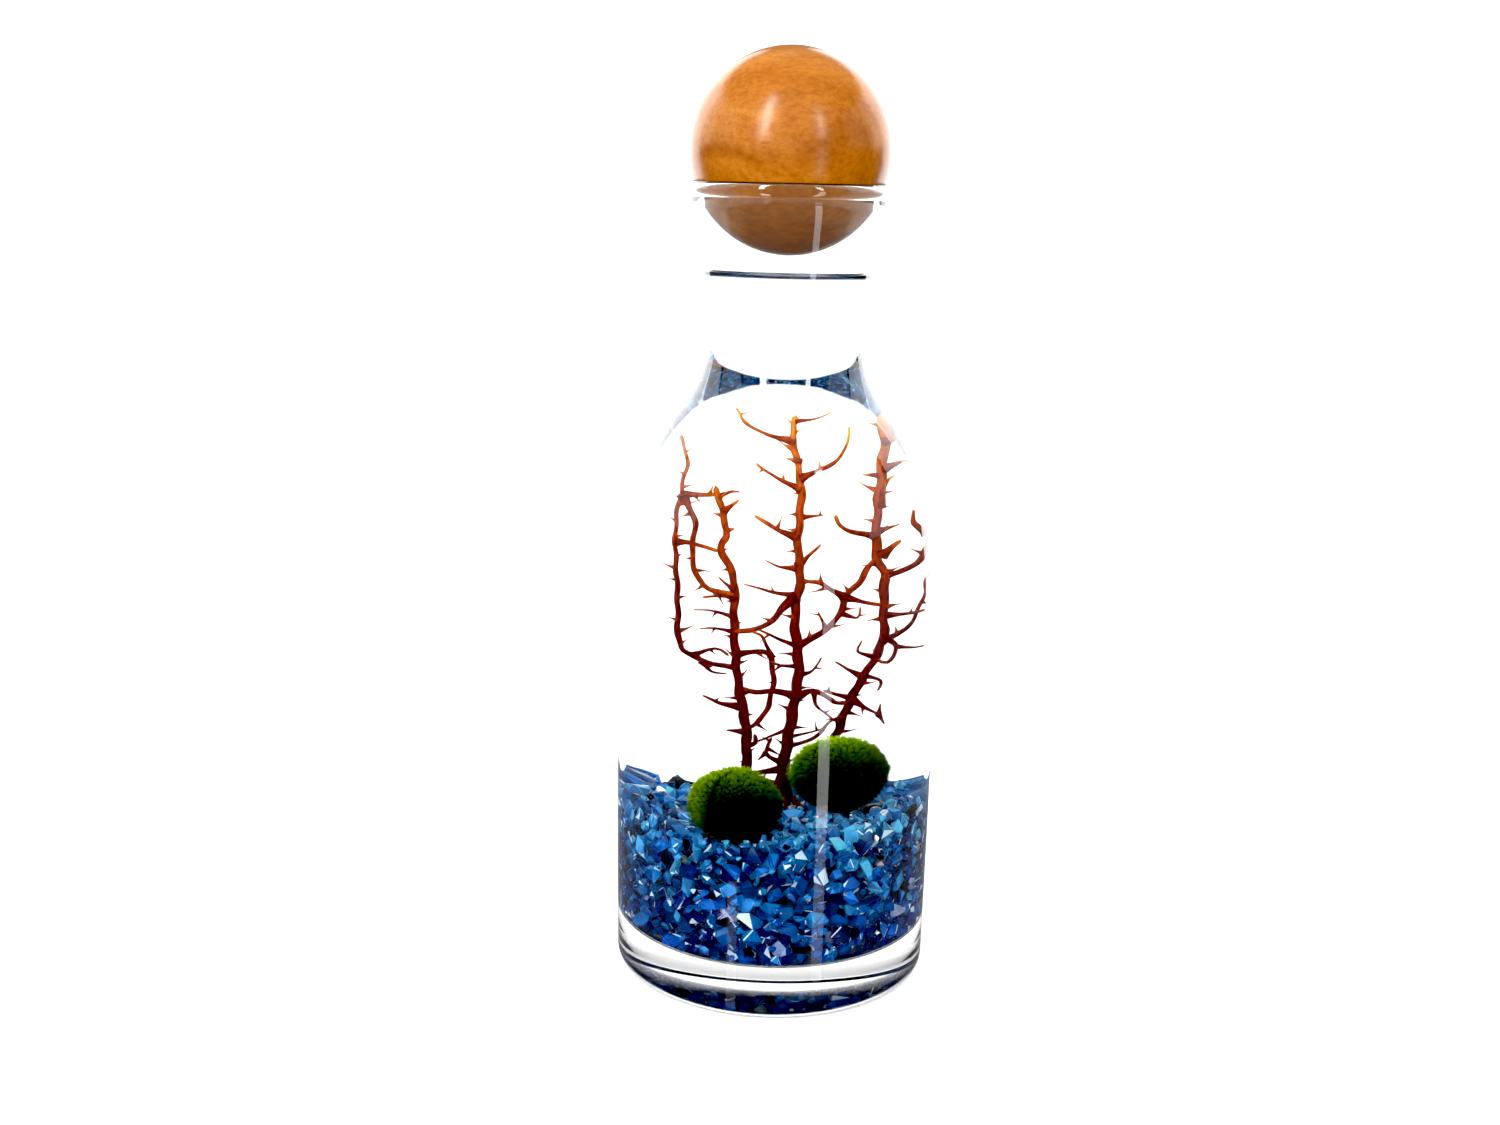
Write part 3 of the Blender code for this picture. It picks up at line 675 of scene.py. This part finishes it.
def make_gravel_core():
    """The middle of the bed, painted dark as shade: it only shows as depth between the chips."""
    setback, lift, drop = CORE_SETBACK
    rim = STRAIGHT_WALL[0] - setback
    low = FLOOR_TOP + lift
    top = BED_TOP - drop
    profile = [(0.0, low), (rim - 3.0, low), (rim, low + 3.0), (rim, top - 4.0),
               (rim - 2.0, top - 1.5), (rim - 12.0, top), (rim - 22.0, top), (0.0, top)]
    verts, faces, _ = turned(profile, 48)
    mat = new_material("gravel_core_painted_shade", (0.003, 0.008, 0.05), 0.6)
    # Its near-black blues are painted shade deep in the bed.
    to_shader(mat, "Base Color", ramp(mat, noise(mat, object_coordinates(mat), 0.25), [
        (0.4, (0.001, 0.002, 0.012)), (0.65, (0.006, 0.03, 0.16))]))
    core = add_piece("gravel_core", verts, faces, [mat], smooth_angle=180.0)
    keep(core, "gravel_bed")


# ---- moss balls ----
def moss_surface(directions, ball, depth):
    """Points at a depth under the ball's surface, along unit directions from its centre."""
    centre, half_sizes, crease = ball
    x, y, z = directions.T
    lumps = MOSS_LUMPS * np.sin(3.1 * x + centre[0]) * np.cos(2.7 * y + 1.9 * z + centre[1])
    if crease is not None:
        turn = past_crease(directions, crease)
        lumps -= CREASE_DEPTH * np.maximum(0.0, 1.0 - z * z) * np.exp(-(turn / CREASE_WIDTH) ** 2)
    half = np.asarray(half_sizes)[None, :] + (lumps - depth)[:, None]
    return directions * half + np.asarray(centre)


def past_crease(directions, crease):
    """Degrees of azimuth from the crease."""
    return np.degrees(np.arctan2(directions[:, 1], directions[:, 0])) % 360.0 - crease


def even_directions(count, rng):
    """Directions spread evenly over a sphere, then jittered."""
    index = np.arange(count) + 0.5
    z = 1.0 - 2.0 * index / count
    turn = index * math.pi * (1.0 + math.sqrt(5.0))
    flat = np.sqrt(1.0 - z * z)
    points = np.column_stack([flat * np.cos(turn), flat * np.sin(turn), z])
    return unit(points + rng.normal(scale=0.6 / math.sqrt(count), size=points.shape))


def make_felt(node, ball):
    bm = bmesh.new()
    bmesh.ops.create_icosphere(bm, subdivisions=5, radius=1.0)
    points, faces = read_mesh(bm)
    felt = add_piece(node + "_felt", moss_surface(unit(points), ball, FELT_DEPTH), faces,
                     [felt_material()], smooth_angle=180.0)
    keep(felt, node)


def square_to(vectors, axes):
    """What is left of each vector without its part along its axis, which has unit length."""
    return vectors - axes * np.sum(vectors * axes, axis=1)[:, None]


def make_filaments(node, ball, seed):
    """Short bent filaments, each a three-sided spike in two steps, standing out of the felt. They
    lean together in tufts, and each tuft has its own length and tone."""
    rng = np.random.default_rng(seed)
    crease = ball[2]
    out = even_directions(FILAMENTS, rng)
    middles = even_directions(TUFTS, rng)
    tuft = np.concatenate([np.argmax(part @ middles.T, axis=1) for part in np.array_split(out, 20)])
    root = moss_surface(out, ball, FELT_DEPTH + 0.25)
    length = rng.uniform(*FILAMENT_LENGTH, FILAMENTS) * rng.uniform(0.65, 1.15, TUFTS)[tuft]
    length = length[:, None]
    comb = np.column_stack([
        np.sin(0.35 * root[:, 2]), np.cos(0.4 * root[:, 0]), np.sin(0.3 * root[:, 1])])
    lean = 0.4 * rng.normal(size=out.shape) + 0.4 * comb
    lean = square_to(lean + 0.5 * rng.normal(size=middles.shape)[tuft], out)
    start = unit(out + 0.4 * lean)
    end = unit(start + 0.5 * lean + rng.normal(scale=0.15, size=out.shape))
    middle = root + start * length * 0.55
    tip = middle + end * length * 0.45
    inward = square_to(moss_surface(middles, ball, 0.2)[tuft] - tip, out)
    middle += 0.4 * TUFT_PULL * inward
    tip += TUFT_PULL * inward
    side = unit(np.cross(start, np.array([0.31, 0.22, 0.92])))
    other = np.cross(start, side)
    rings = []
    for point, radius in ((root, FILAMENT_RADIUS), (middle, 0.75 * FILAMENT_RADIUS)):
        for angle in np.radians([0.0, 120.0, 240.0]):
            rings.append(point + radius * (math.cos(angle) * side + math.sin(angle) * other))
    verts = np.stack(rings + [tip], axis=1).reshape(-1, 3)
    spike = np.array([[0, 1, 4], [0, 4, 3], [1, 2, 5], [1, 5, 4], [2, 0, 3], [2, 3, 5],
                      [3, 4, 6], [4, 5, 6], [5, 3, 6]])
    faces = (spike[None, :, :] + 7 * np.arange(FILAMENTS)[:, None, None]).reshape(-1, 3)
    patch = 0.5 + 0.5 * (np.sin(0.9 * root[:, 0] + 1.1 * np.sin(0.8 * root[:, 2]))
                         * np.cos(0.7 * root[:, 1]))
    tone = 0.35 * rng.uniform(size=FILAMENTS) + 0.35 * rng.uniform(size=TUFTS)[tuft] + 0.3 * patch
    # Painted light and shade: filaments facing SUN_SIDE are painted lit and those facing away
    # shaded; the crease is painted dark and the lobe beside it lit.
    light = (out @ unit(SUN_SIDE) - SUN_SPAN[0]) / (SUN_SPAN[1] - SUN_SPAN[0])
    light += rng.normal(scale=0.06, size=FILAMENTS)
    if crease is not None:
        turn = past_crease(out, crease)
        gain, place, width = LOBE_LIGHT
        light *= 1.0 - CREASE_SHADE * np.exp(-(turn / CREASE_SHADE_WIDTH) ** 2)
        light += gain * np.exp(-((turn - place) / width) ** 2) * np.sqrt(1.0 - out[:, 2] ** 2)
    filaments = add_piece(node + "_filaments", verts, faces, [filament_material()], attributes={
        "filament_height": np.tile([0.0, 0.0, 0.0, 0.55, 0.55, 0.55, 1.0], FILAMENTS),
        "filament_tone": np.repeat(np.clip(tone, 0.0, 1.0), 7),
        "filament_light": np.repeat(np.clip(light, 0.0, 1.0), 7)})
    keep(filaments, node)


def make_moss():
    for seed, (node, ball) in enumerate(MOSS_BALLS.items()):
        make_felt(node, ball)
        make_filaments(node, ball, 31 + seed)


# ---- sea fan ----
# node: strands, each (route of (x, y, z), radius at its start, radius at its tip). The first of
# each is the stem. Every strand of the part is here, with the finer twigs after them.
SEA_FAN = {
    "sea_fan_trunk": [
        ([(1.8, 3.2, 42.6), (1.7, 3, 51.5), (2.4, 3, 61), (3.6, 3, 72.5),
          (4.3, 3, 82), (3.3, 2.6, 95), (4.1, 2.6, 104), (3.5, 3, 112.5),
          (3.8, 3.6, 124.5), (2, 4, 135.5), (2.3, 4.4, 140.3)], 1.35, 0.6),
        ([(2.3, 3.9, 134.8), (-3.8, 4.2, 136.6), (-7.3, 5, 138.8), (-8.7, 5.4, 142.4)], 0.45, 0.2),
        ([(3.7, 3.6, 127), (9.2, 2.6, 130.2), (12.1, 2, 133.6), (13, 1.8, 139)], 0.45, 0.2),
        ([(3.7, 3.4, 124.4), (-0.5, 4.2, 126.6), (-3.6, 4.6, 128.4), (-6.2, 5, 131.1)], 0.42, 0.16),
        ([(3.5, 3, 113.4), (-1.4, 4, 115.7), (-4.6, 4.6, 117.8)], 0.5, 0.3),
        ([(3.6, 3, 107), (7.8, 2, 112.2)], 0.45, 0.2),
        ([(3.4, 2.6, 100), (-1, 1.8, 100.9), (-6.6, 1.2, 102.7)], 0.4, 0.16),
        ([(3.3, 2.6, 99.8), (0.6, 1.6, 96.7), (-1.8, 1, 93.5), (-4.4, 1.4, 91.9),
          (-8.2, 3.3, 90.8)], 0.6, 0.45),
        ([(4, 3, 74.4), (7.3, 2, 76.3), (10.2, 1.8, 74.3), (11.6, 2.4, 73),
          (14, 3.6, 72.6)], 0.55, 0.4),
        ([(3.8, 3, 74.6), (-0.3, 3.4, 75.7), (-4, 3.2, 75.2), (-6.9, 3, 76.4)], 0.6, 0.5),
        ([(1.7, 3, 54.6), (-4.5, 0.8, 53.8), (-12, -1, 53.9)], 0.5, 0.42),
        ([(1.9, 3, 56), (-1.5, 1, 59.4), (-0.7, 0.4, 63.4)], 0.5, 0.3),
        ([(3.8, 3.6, 118.1), (8.2, 4.4, 118.6)], 0.35, 0.15),
        ([(3.6, 2.8, 106.2), (0.2, 3.6, 106.6), (-2.6, 4.2, 107.9)], 0.35, 0.14),
        ([(2.3, 4.2, 139.4), (6.5, 5, 140.1), (9.1, 5.4, 142.3)], 0.3, 0.14),
        ([(3.7, 3.4, 130.6), (0.9, 2.6, 131.4)], 0.3, 0.12),
        ([(4.2, 3, 87.6), (-0.6, 3.8, 89.8), (-3.8, 4.2, 91.4)], 0.35, 0.2),
        ([(4.2, 3, 80.2), (7, 4.2, 81.2), (8.4, 5, 84.4)], 0.35, 0.16),
        ([(4.2, 3, 82.5), (0.8, 2, 82.9), (-0.8, 1.6, 83.8)], 0.35, 0.25),
        ([(3, 3, 65.9), (-0.7, 1.8, 63.8), (-4.5, 1.6, 61.7)], 0.32, 0.2),
        ([(2.4, 3, 60.9), (7.2, 2.2, 63.2), (11.1, 2, 68.4), (13, 2.4, 69.2)], 0.4, 0.3),
        ([(2.6, 3, 63.4), (6.8, 3.8, 64.6), (8.8, 4.2, 65.4)], 0.3, 0.2),
        ([(7.3, 2, 76.3), (7.9, 1.6, 72.7), (11.1, 2, 68.6)], 0.3, 0.25),
        ([(-1.5, 1, 59.6), (-3, 0.6, 57.6)], 0.3, 0.12),
        ([(-1.2, 0.8, 60.6), (1, 0.4, 59.2)], 0.25, 0.1),
        ([(1.7, 2.8, 48), (4.4, 0.6, 45.8), (6.4, -1.4, 43.6)], 0.9, 0.5),
        ([(1.7, 2.6, 49.5), (2.6, 0.4, 46.8), (2.8, -1.6, 43.2)], 0.8, 0.5),
    ],
    "sea_fan_left_limb": [
        ([(1.4, 3.1, 49.4), (-0.8, 3.4, 50.2), (-4.2, 3.4, 51.8), (-5.2, 3.2, 56), (-5.5, 3, 65.7),
          (-7.3, 3, 78.5), (-8.3, 3.4, 92.7), (-8.5, 3.6, 102.9), (-11.2, 3.8, 110.6),
          (-10.2, 4, 114.5), (-12.4, 4.4, 123.7)], 1.1, 0.6),
        ([(-7, 3, 71.2), (-10.6, 2.2, 72.1), (-13.9, 1.6, 73.9)], 0.5, 0.22),
        ([(-5.5, 3, 64.4), (-9, 4.4, 64.3)], 0.5, 0.2),
        ([(-7.8, 3.2, 85.2), (-2.1, 2.2, 86.2), (-0.6, 1.8, 81), (-1, 1.6, 74),
          (-2.9, 2, 68), (-5.5, 2.8, 65.2)], 0.5, 0.45),
        ([(-10.9, 3.8, 119), (-8, 3, 121.8)], 0.4, 0.2),
        ([(-12.2, 4.4, 122), (-9.4, 5, 123.2), (-7.4, 5.4, 123)], 0.35, 0.14),
        ([(-8.4, 3.4, 98.6), (-11, 2.4, 99.4), (-14.4, 2, 99)], 0.3, 0.2),
        ([(-8.3, 3.4, 94.2), (-12.4, 4.6, 95.4), (-15.8, 5.4, 95.2)], 0.32, 0.14),
        ([(-8.2, 3.4, 90.6), (-12, 2.6, 91.6), (-14.8, 2, 91.4)], 0.32, 0.14),
        ([(-8.4, 3.4, 100.4), (-11.4, 4.4, 103.4)], 0.3, 0.14),
        ([(-1, 2, 85), (-2.6, 0.8, 90), (-4.6, 0.4, 91.4)], 0.35, 0.25),
        ([(-5.4, 3, 60.6), (-3.6, 1.6, 62), (-3.8, 1, 64)], 0.4, 0.3),
    ],
    "sea_fan_outer_left_limb": [
        ([(-7.4, 3, 81.4), (-9.6, 3.4, 81.9), (-13.3, 4, 82.4), (-16.4, 4.6, 84.2),
          (-18.5, 5, 87), (-19.1, 5.2, 98.8), (-19.9, 5, 114.1), (-18.8, 4.8, 124.6),
          (-18.1, 4.8, 129.7), (-19.5, 5, 135)], 0.65, 0.35),
        ([(-18.8, 4.8, 122.2), (-16.4, 3.8, 116.3), (-16.7, 3.4, 108), (-14.6, 3.2, 101.8),
          (-10.6, 3.4, 100), (-8.5, 3.6, 99.8)], 0.5, 0.45),
        ([(-18.8, 4.8, 122.2), (-13.6, 4.6, 122.4), (-12.2, 4.4, 122.6)], 0.4, 0.35),
        ([(-16, 4.6, 84), (-11.6, 5.4, 86), (-9.4, 5, 84.6)], 0.35, 0.3),
        ([(-19.7, 5, 111.2), (-16.8, 3.8, 111.4), (-12.2, 3.8, 109.9)], 0.4, 0.35),
        ([(-14.4, 3.9, 82.6), (-12.4, 2.6, 80.4), (-9.8, 2.6, 80)], 0.3, 0.2),
    ],
    "sea_fan_right_limb": [
        ([(2, 3.4, 50.5), (3.5, 4.5, 51.6), (7.4, 7.4, 56.4), (11.3, 7.4, 62.4), (12.6, 5.4, 67.6),
          (14.1, 3.6, 72.7), (16.4, 3.2, 79.1), (18.9, 4.2, 85), (20, 5.6, 90.5),
          (19.5, 8, 97.2), (19.2, 11, 103), (17.6, 13, 106.6), (17, 15, 111.2),
          (16.8, 17, 117.4), (16.8, 18.4, 123.6), (16.6, 19.4, 130), (15.4, 20, 135.2)],
         1, 0.7),
        ([(16.7, 15, 111.6), (14.6, 13, 112.6), (12.3, 11.5, 113.6), (10.9, 10.5, 114.9),
          (10.2, 10, 117)], 0.45, 0.3),
        ([(19.8, 5.2, 88.9), (24.1, 6, 91.4), (26, 6.6, 95.3), (27.3, 7.2, 99.1),
          (27.4, 7.6, 102.4), (29.6, 8, 106.4)], 0.45, 0.25),
        ([(19.7, 7.4, 94.5), (25.5, 6.4, 95.2), (27.6, 6, 95.8)], 0.45, 0.25),
        ([(14.4, 3.4, 73.6), (20, 1.6, 69.8)], 0.5, 0.25),
        ([(16.6, 3.2, 79.6), (11.3, 4.2, 83.5)], 0.45, 0.2),
        ([(18.3, 13.2, 107.6), (20.2, 12.6, 109.7), (21.3, 12.2, 110.9)], 0.5, 0.3),
        ([(17.2, 18.7, 125.4), (20.9, 17, 127.5)], 0.4, 0.16),
        ([(19.9, 5.4, 89.6), (22.8, 4.4, 87.4), (21.1, 3.2, 83.4), (18.6, 3.8, 84.6)], 0.4, 0.35),
        ([(22.6, 4.4, 87.3), (27, 3.4, 87), (31.2, 3, 87.6)], 0.3, 0.14),
        ([(16.8, 3.2, 80), (20, 4.2, 78.4), (19.4, 4.6, 75.8)], 0.35, 0.2),
        ([(18.6, 4, 84.8), (15.6, 3, 86.6), (16.2, 2.6, 89.4)], 0.35, 0.16),
        ([(14.5, 3.6, 73.8), (9.4, 4.8, 75.6)], 0.4, 0.3),
        ([(20, 1.6, 69.8), (21.2, 1.4, 67.4)], 0.28, 0.18),
        ([(20, 1.6, 69.8), (20.4, 1.2, 72.6)], 0.28, 0.14),
        ([(16.8, 19.2, 130.5), (19, 17.5, 131.9)], 0.35, 0.14),
        ([(16.6, 18.4, 124), (14.2, 17.4, 124.5)], 0.3, 0.14),
        ([(17.2, 17, 117.6), (17.9, 16, 121.8), (18.4, 15.4, 123.8), (19.4, 15, 124.7)], 0.4, 0.18),
        ([(17.4, 15.4, 112.7), (20.7, 14.6, 114.2)], 0.35, 0.14),
    ],
    "sea_fan_right_fork": [
        ([(3.9, 2.8, 88), (5.4, 2.2, 89), (8.7, 3, 91.5), (11.6, 4.4, 94.9), (12.6, 6, 99),
          (14.8, 9, 102), (16.4, 11.7, 105.4), (17.3, 12.8, 106.8)], 0.65, 0.55),
        ([(12.6, 6, 99), (10.7, 5, 100.7), (7.8, 4, 102.9), (5.8, 3.2, 103.3),
          (4, 2.6, 104)], 0.45, 0.4),
        ([(12.6, 6, 99), (18, 7.5, 97.2), (19.4, 8, 97)], 0.4, 0.35),
        ([(11.8, 4.6, 95.6), (15.2, 4.6, 94.6), (15.6, 4.4, 97)], 0.35, 0.16),
        ([(9.2, 3.2, 92.2), (7.8, 2.4, 96.2)], 0.3, 0.14),
    ],
    "sea_fan_far_right_limb": [
        ([(19.3, 11.2, 103), (20.3, 11.6, 103.4), (22.4, 12.5, 104.2), (24.1, 13.5, 105.5),
          (24.7, 14.5, 107.3), (25.2, 15.5, 109.4), (25, 16.2, 111.8), (24.6, 16.6, 114.2)],
         0.55, 0.45),
        ([(24.9, 15.8, 111.6), (23.5, 15.4, 113.3), (22.9, 15, 115), (22.8, 15, 117)], 0.45, 0.22),
    ],
}
FAN_SIDES = 9
FAN_STEP = 0.9
STEM_GROWTH = 1.08  # the radii above are of the thinnest parts
TWIG_GROWTH = 1.25
STEM_FLARE = 0.55  # how much thicker a strand is where it starts
TWIG_FLARE = 1.3
KNOT_SPACING = 1.7
KNOTS = 0.14  # how much the radius varies from knot to knot
WANDER = 0.16
FAN_HEIGHTS = (45.0, 142.0)  # the stems go from dark to golden between these
THORN_SPACING = (2.4, 5.2)
THORN_LENGTH = (1.1, 3.2)
THORN_SIDES = 6
THORN_TIP = 0.08  # radius
THORN_BASE = 0.85  # largest radius


def smooth_route(route, step):
    """Points about every step on a smooth curve through a route."""
    route = np.asarray(route, float)
    ends = np.vstack([route[:1], route, route[-1:]])
    points = []
    for p0, p1, p2, p3 in zip(ends, ends[1:], ends[2:], ends[3:]):
        count = max(2, round(float(np.linalg.norm(p2 - p1)) / step))
        for t in np.arange(count) / count:
            points.append(0.5 * (2 * p1 + (p2 - p0) * t + (2 * p0 - 5 * p1 + 4 * p2 - p3) * t * t
                                 + (3 * p1 - p0 - 3 * p2 + p3) * t ** 3))
    points.append(route[-1])
    return np.array(points)


def tube(points, radii, sides):
    """A closed tube with a radius at each point and a pointed tip."""
    along = unit(np.gradient(points, axis=0))
    side = unit(np.cross(along, (0.0, 1.0, 0.0)))
    front = np.cross(side, along)
    angles = np.arange(sides) * 2.0 * math.pi / sides
    ring = (np.cos(angles)[None, :, None] * side[:, None, :]
            + np.sin(angles)[None, :, None] * front[:, None, :])
    verts = (points[:, None, :] + radii[:, None, None] * ring).reshape(-1, 3)
    last = (len(points) - 1) * sides
    i = np.arange(sides)
    j = (i + 1) % sides
    faces = []
    for a in range(0, last, sides):
        b = a + sides
        faces.append(np.column_stack([a + i, a + j, b + j]))
        faces.append(np.column_stack([a + i, b + j, b + i]))
    root = points[0] - along[0] * radii[0] * 0.4
    tip = points[-1] + along[-1] * radii[-1] * 1.6
    root_index = len(verts)
    faces.append(np.column_stack([j, i, np.full(sides, root_index)]))
    faces.append(np.column_stack([last + i, last + j, np.full(sides, root_index + 1)]))
    return np.vstack([verts, root, tip]), np.vstack(faces)


def fan_tone(verts, tipness):
    """0 is the dark maroon of the root and 1 the gold of the thin tips."""
    low, high = FAN_HEIGHTS
    lift = np.clip((verts[:, 2] - low) / (high - low), 0.0, 1.0)
    return np.clip(0.08 + 0.50 * lift ** 1.5 + 0.42 * tipness * (0.3 + lift), 0.0, 1.0)


def add_strand(limb, rng, route, start_radius, tip_radius, is_stem):
    points = smooth_route(route, FAN_STEP)
    along = distances(points)
    share = along / along[-1]
    radii = start_radius + (tip_radius - start_radius) * share
    radii = radii * (STEM_GROWTH if is_stem else TWIG_GROWTH)
    flare = STEM_FLARE if is_stem else TWIG_FLARE
    radii = radii * (1.0 + flare * np.exp(-along / (1.0 + start_radius)))
    knots_at = np.arange(0.0, along[-1] + 4.0, KNOT_SPACING)
    knots = rng.uniform(-1.0, 1.0, len(knots_at))
    radii = radii * (1.0 + KNOTS * np.interp(along, knots_at, knots))
    wander = np.column_stack([
        np.sin(0.9 * along + 3.0 * start_radius), np.cos(0.7 * along), np.zeros(len(along))])
    ease = np.minimum(1.0, np.minimum(along, along[-1] - along) / 3.0)
    points = points + WANDER * wander * ease[:, None]
    verts, faces = tube(points, radii, FAN_SIDES)
    tipness = np.concatenate([np.repeat(share ** 2, FAN_SIDES), [0.0, 1.0]])
    limb.add(verts, faces, fan_tone(verts, 0.6 * tipness if is_stem else tipness))
    return points, radii, along


def add_thorns(limb, rng, points, radii, along, share_kept):
    at = rng.uniform(*THORN_SPACING)
    flip = rng.choice([-1.0, 1.0])
    while at < along[-1] - 1.0:
        flip = -flip if rng.uniform() < 0.75 else flip
        if rng.uniform() < share_kept:
            i = int(np.clip(np.searchsorted(along, at), 1, len(points) - 2))
            add_thorn(limb, rng, points[i], unit(points[i + 1] - points[i - 1]), radii[i], flip)
        at += rng.uniform(*THORN_SPACING)


def add_thorn(limb, rng, place, run, radius, flip):
    """A thorn that stands out of a strand, which runs through the place."""
    out = flip * unit(np.cross(run, (0.0, 1.0, 0.0)))
    out[1] += rng.uniform(-0.5, 0.5)
    out = unit(out + run * rng.uniform(0.0, 0.45))
    length = rng.uniform(*THORN_LENGTH) * rng.uniform(0.7, 1.25)
    bend = run * rng.uniform(-0.25, 0.5) * length
    t = np.array([0.0, 0.12, 0.3, 0.6, 1.0])
    route = place + out * (radius * 0.4 + length * t)[:, None] + bend * (t ** 2)[:, None]
    base = min(0.9 * radius + 0.1, THORN_BASE)
    verts, faces = tube(route, THORN_TIP + (base - THORN_TIP) * (1.0 - t) ** 2.0, THORN_SIDES)
    tipness = np.concatenate([np.repeat(0.35 + 0.65 * t, THORN_SIDES), [0.35, 1.0]])
    limb.add(verts, faces, fan_tone(verts, tipness))


def make_sea_fan():
    mat = sea_fan_material()
    for seed, (node, strands) in enumerate(SEA_FAN.items()):
        limb = Pile()
        rng = np.random.default_rng(70 + seed)
        for k, strand in enumerate(strands):
            points, radii, along = add_strand(limb, rng, *strand, k == 0)
            add_thorns(limb, rng, points, radii, along, 0.95 if k == 0 else 0.4)
        keep(limb.make_piece(node + "_branches", mat, "fan_tone", 60.0), node)


# ---- stage ----
def make_floor():
    corners = [(FLOOR_HALF * x, FLOOR_HALF * y, -FLOOR_DROP)
               for x, y in ((-1, -1), (1, -1), (1, 1), (-1, 1))]
    mat = new_material("pale_floor", FLOOR_COLOUR, 0.8, Specular_IOR_Level=0.1)
    rays = add_node(mat, "ShaderNodeLightPath").outputs
    y = separate(mat, object_coordinates(mat))["Y"]
    in_front = map_range(mat, y, DIM_FROM, (1.0, 0.0))
    past_base = compute(mat, "GREATER_THAN", rays["Transmission Depth"], BASE_CROSSINGS)
    dimmed = compute(mat, "MAXIMUM", past_base, in_front)
    dim = compute(mat, "MULTIPLY_ADD", rays["Glossy Depth"], dimmed, rays["Diffuse Depth"])
    dim_colour = [FLOOR_BOUNCE * c for c in FLOOR_COLOUR]
    to_shader(mat, "Base Color", mix_colours(mat, dim, FLOOR_COLOUR, dim_colour))
    floor = add_piece("floor", corners, [(0, 1, 2, 3)], [mat])
    floor.visible_glossy = False


def make_world():
    """White where it is seen. Its reflections are dimmer, but for the ceiling's in the shoulder,
    and the light that it gives to the object comes mostly from the front."""
    world = bpy.data.worlds.new("soft_white_studio")
    world.use_nodes = True
    rays = add_node(world, "ShaderNodeLightPath").outputs
    direction = add_node(world, "ShaderNodeTexCoord").outputs["Generated"]
    towards = add_node(world, "ShaderNodeVectorMath", {0: direction, 1: unit(SKY_TOWARDS)},
                       operation="DOT_PRODUCT").outputs["Value"]
    sky = map_range(world, towards, SKY_SPAN, SKY_LIGHT, "SMOOTHSTEP")
    heading = separate(world, direction)
    ceiling = map_range(world, heading["Z"], CEILING_SPAN, (WORLD_GLOSS, CEILING_GLOSS),
                        "SMOOTHSTEP")
    backdrop = map_range(world, heading["Y"], BACKDROP_SPAN, (WORLD_GLOSS, WORLD_STRENGTH),
                         "SMOOTHSTEP")
    seen = mix_values(world, rays["Glossy Depth"], WORLD_STRENGTH, backdrop)
    reflected = mix_values(world, rays["Is Reflection Ray"], seen, ceiling)
    strength = mix_values(world, rays["Diffuse Depth"], reflected, sky)
    background = world.node_tree.nodes["Background"]
    background.inputs["Color"].default_value = (*WHITE, 1.0)
    world.node_tree.links.new(strength, background.inputs["Strength"])
    bpy.context.scene.world = world


def pose_matrix(right, up, back, place):
    columns = np.column_stack([right, up, back, np.asarray(place, float) * MM])
    return Matrix(np.vstack([columns, (0.0, 0.0, 0.0, 1.0)]).tolist())


def add_area_light(name, place, target, width, length, radiance, lights_inside=True):
    """A soft rectangle that lights and reflects but isn't seen itself."""
    light = bpy.data.lights.new(name, "AREA")
    light.shape = "RECTANGLE"
    light.size = width * MM
    light.size_y = length * MM
    light.energy = radiance * math.pi * light.size * light.size_y
    obj = bpy.data.objects.new(name, light)
    bpy.context.scene.collection.objects.link(obj)
    back = unit(np.subtract(place, target))
    right = unit(np.cross((0.0, 0.0, 1.0), back))
    obj.matrix_world = pose_matrix(right, np.cross(back, right), back, place)
    obj.visible_camera = False
    obj.visible_transmission = lights_inside
    obj.visible_diffuse = lights_inside


def make_lights():
    """A wide soft light above and behind, and two lamps high at the front corners. The others only
    show in reflections: windows and strips as the bright lines in the upright glass, and panels
    at the sides as the pale veil at the glass's edges."""
    add_area_light("overhead", (250.0, 500.0, 1500.0), (0.0, 0.0, 60.0), 1300.0, 1100.0, 0.2)
    for name, azimuth, rise, width, length, radiance in LIGHTS:
        angle = math.radians(azimuth)
        place = (LIGHT_DISTANCE * math.sin(angle), -LIGHT_DISTANCE * math.cos(angle), rise)
        add_area_light(name, place, LIGHT_TARGET, width, length, radiance, name.startswith("lamp"))


def make_camera():
    yaw, pitch, roll = np.radians([CAMERA_YAW, CAMERA_PITCH, CAMERA_ROLL])
    ahead = np.array([math.sin(yaw) * math.cos(pitch), math.cos(yaw) * math.cos(pitch),
                      -math.sin(pitch)])
    level = np.array([math.cos(yaw), -math.sin(yaw), 0.0])
    upright = np.cross(level, ahead)
    right = math.cos(roll) * level + math.sin(roll) * upright
    up = math.cos(roll) * upright - math.sin(roll) * level
    data = bpy.data.cameras.new("camera")
    data.sensor_width = SENSOR
    data.lens = FOCAL_PX / PHOTO_WIDTH * SENSOR
    data.clip_start = 0.01
    camera = bpy.data.objects.new("camera", data)
    bpy.context.scene.collection.objects.link(camera)
    camera.matrix_world = pose_matrix(right, up, -ahead, CAMERA_AT)
    bpy.context.scene.camera = camera


def set_view_and_bounces():
    scene = bpy.context.scene
    scene.view_settings.view_transform = "Standard"
    scene.view_settings.use_curve_mapping = True
    curves = scene.view_settings.curve_mapping
    curves.black_level = (BLACK_LEVEL,) * 3
    curves.white_level = (WHITE_LEVEL,) * 3
    curves.update()
    scene.cycles.max_bounces = 24
    scene.cycles.transmission_bounces = 20
    scene.cycles.glossy_bounces = 8
    scene.cycles.diffuse_bounces = 3
    scene.cycles.transparent_max_bounces = 16
    scene.cycles.sample_clamp_indirect = 6.0


make_carafe()
make_water()
make_stopper()
make_gravel_core()
make_gravel()
make_moss()
make_sea_fan()
make_floor()
make_world()
make_lights()
make_camera()
set_view_and_bounces()
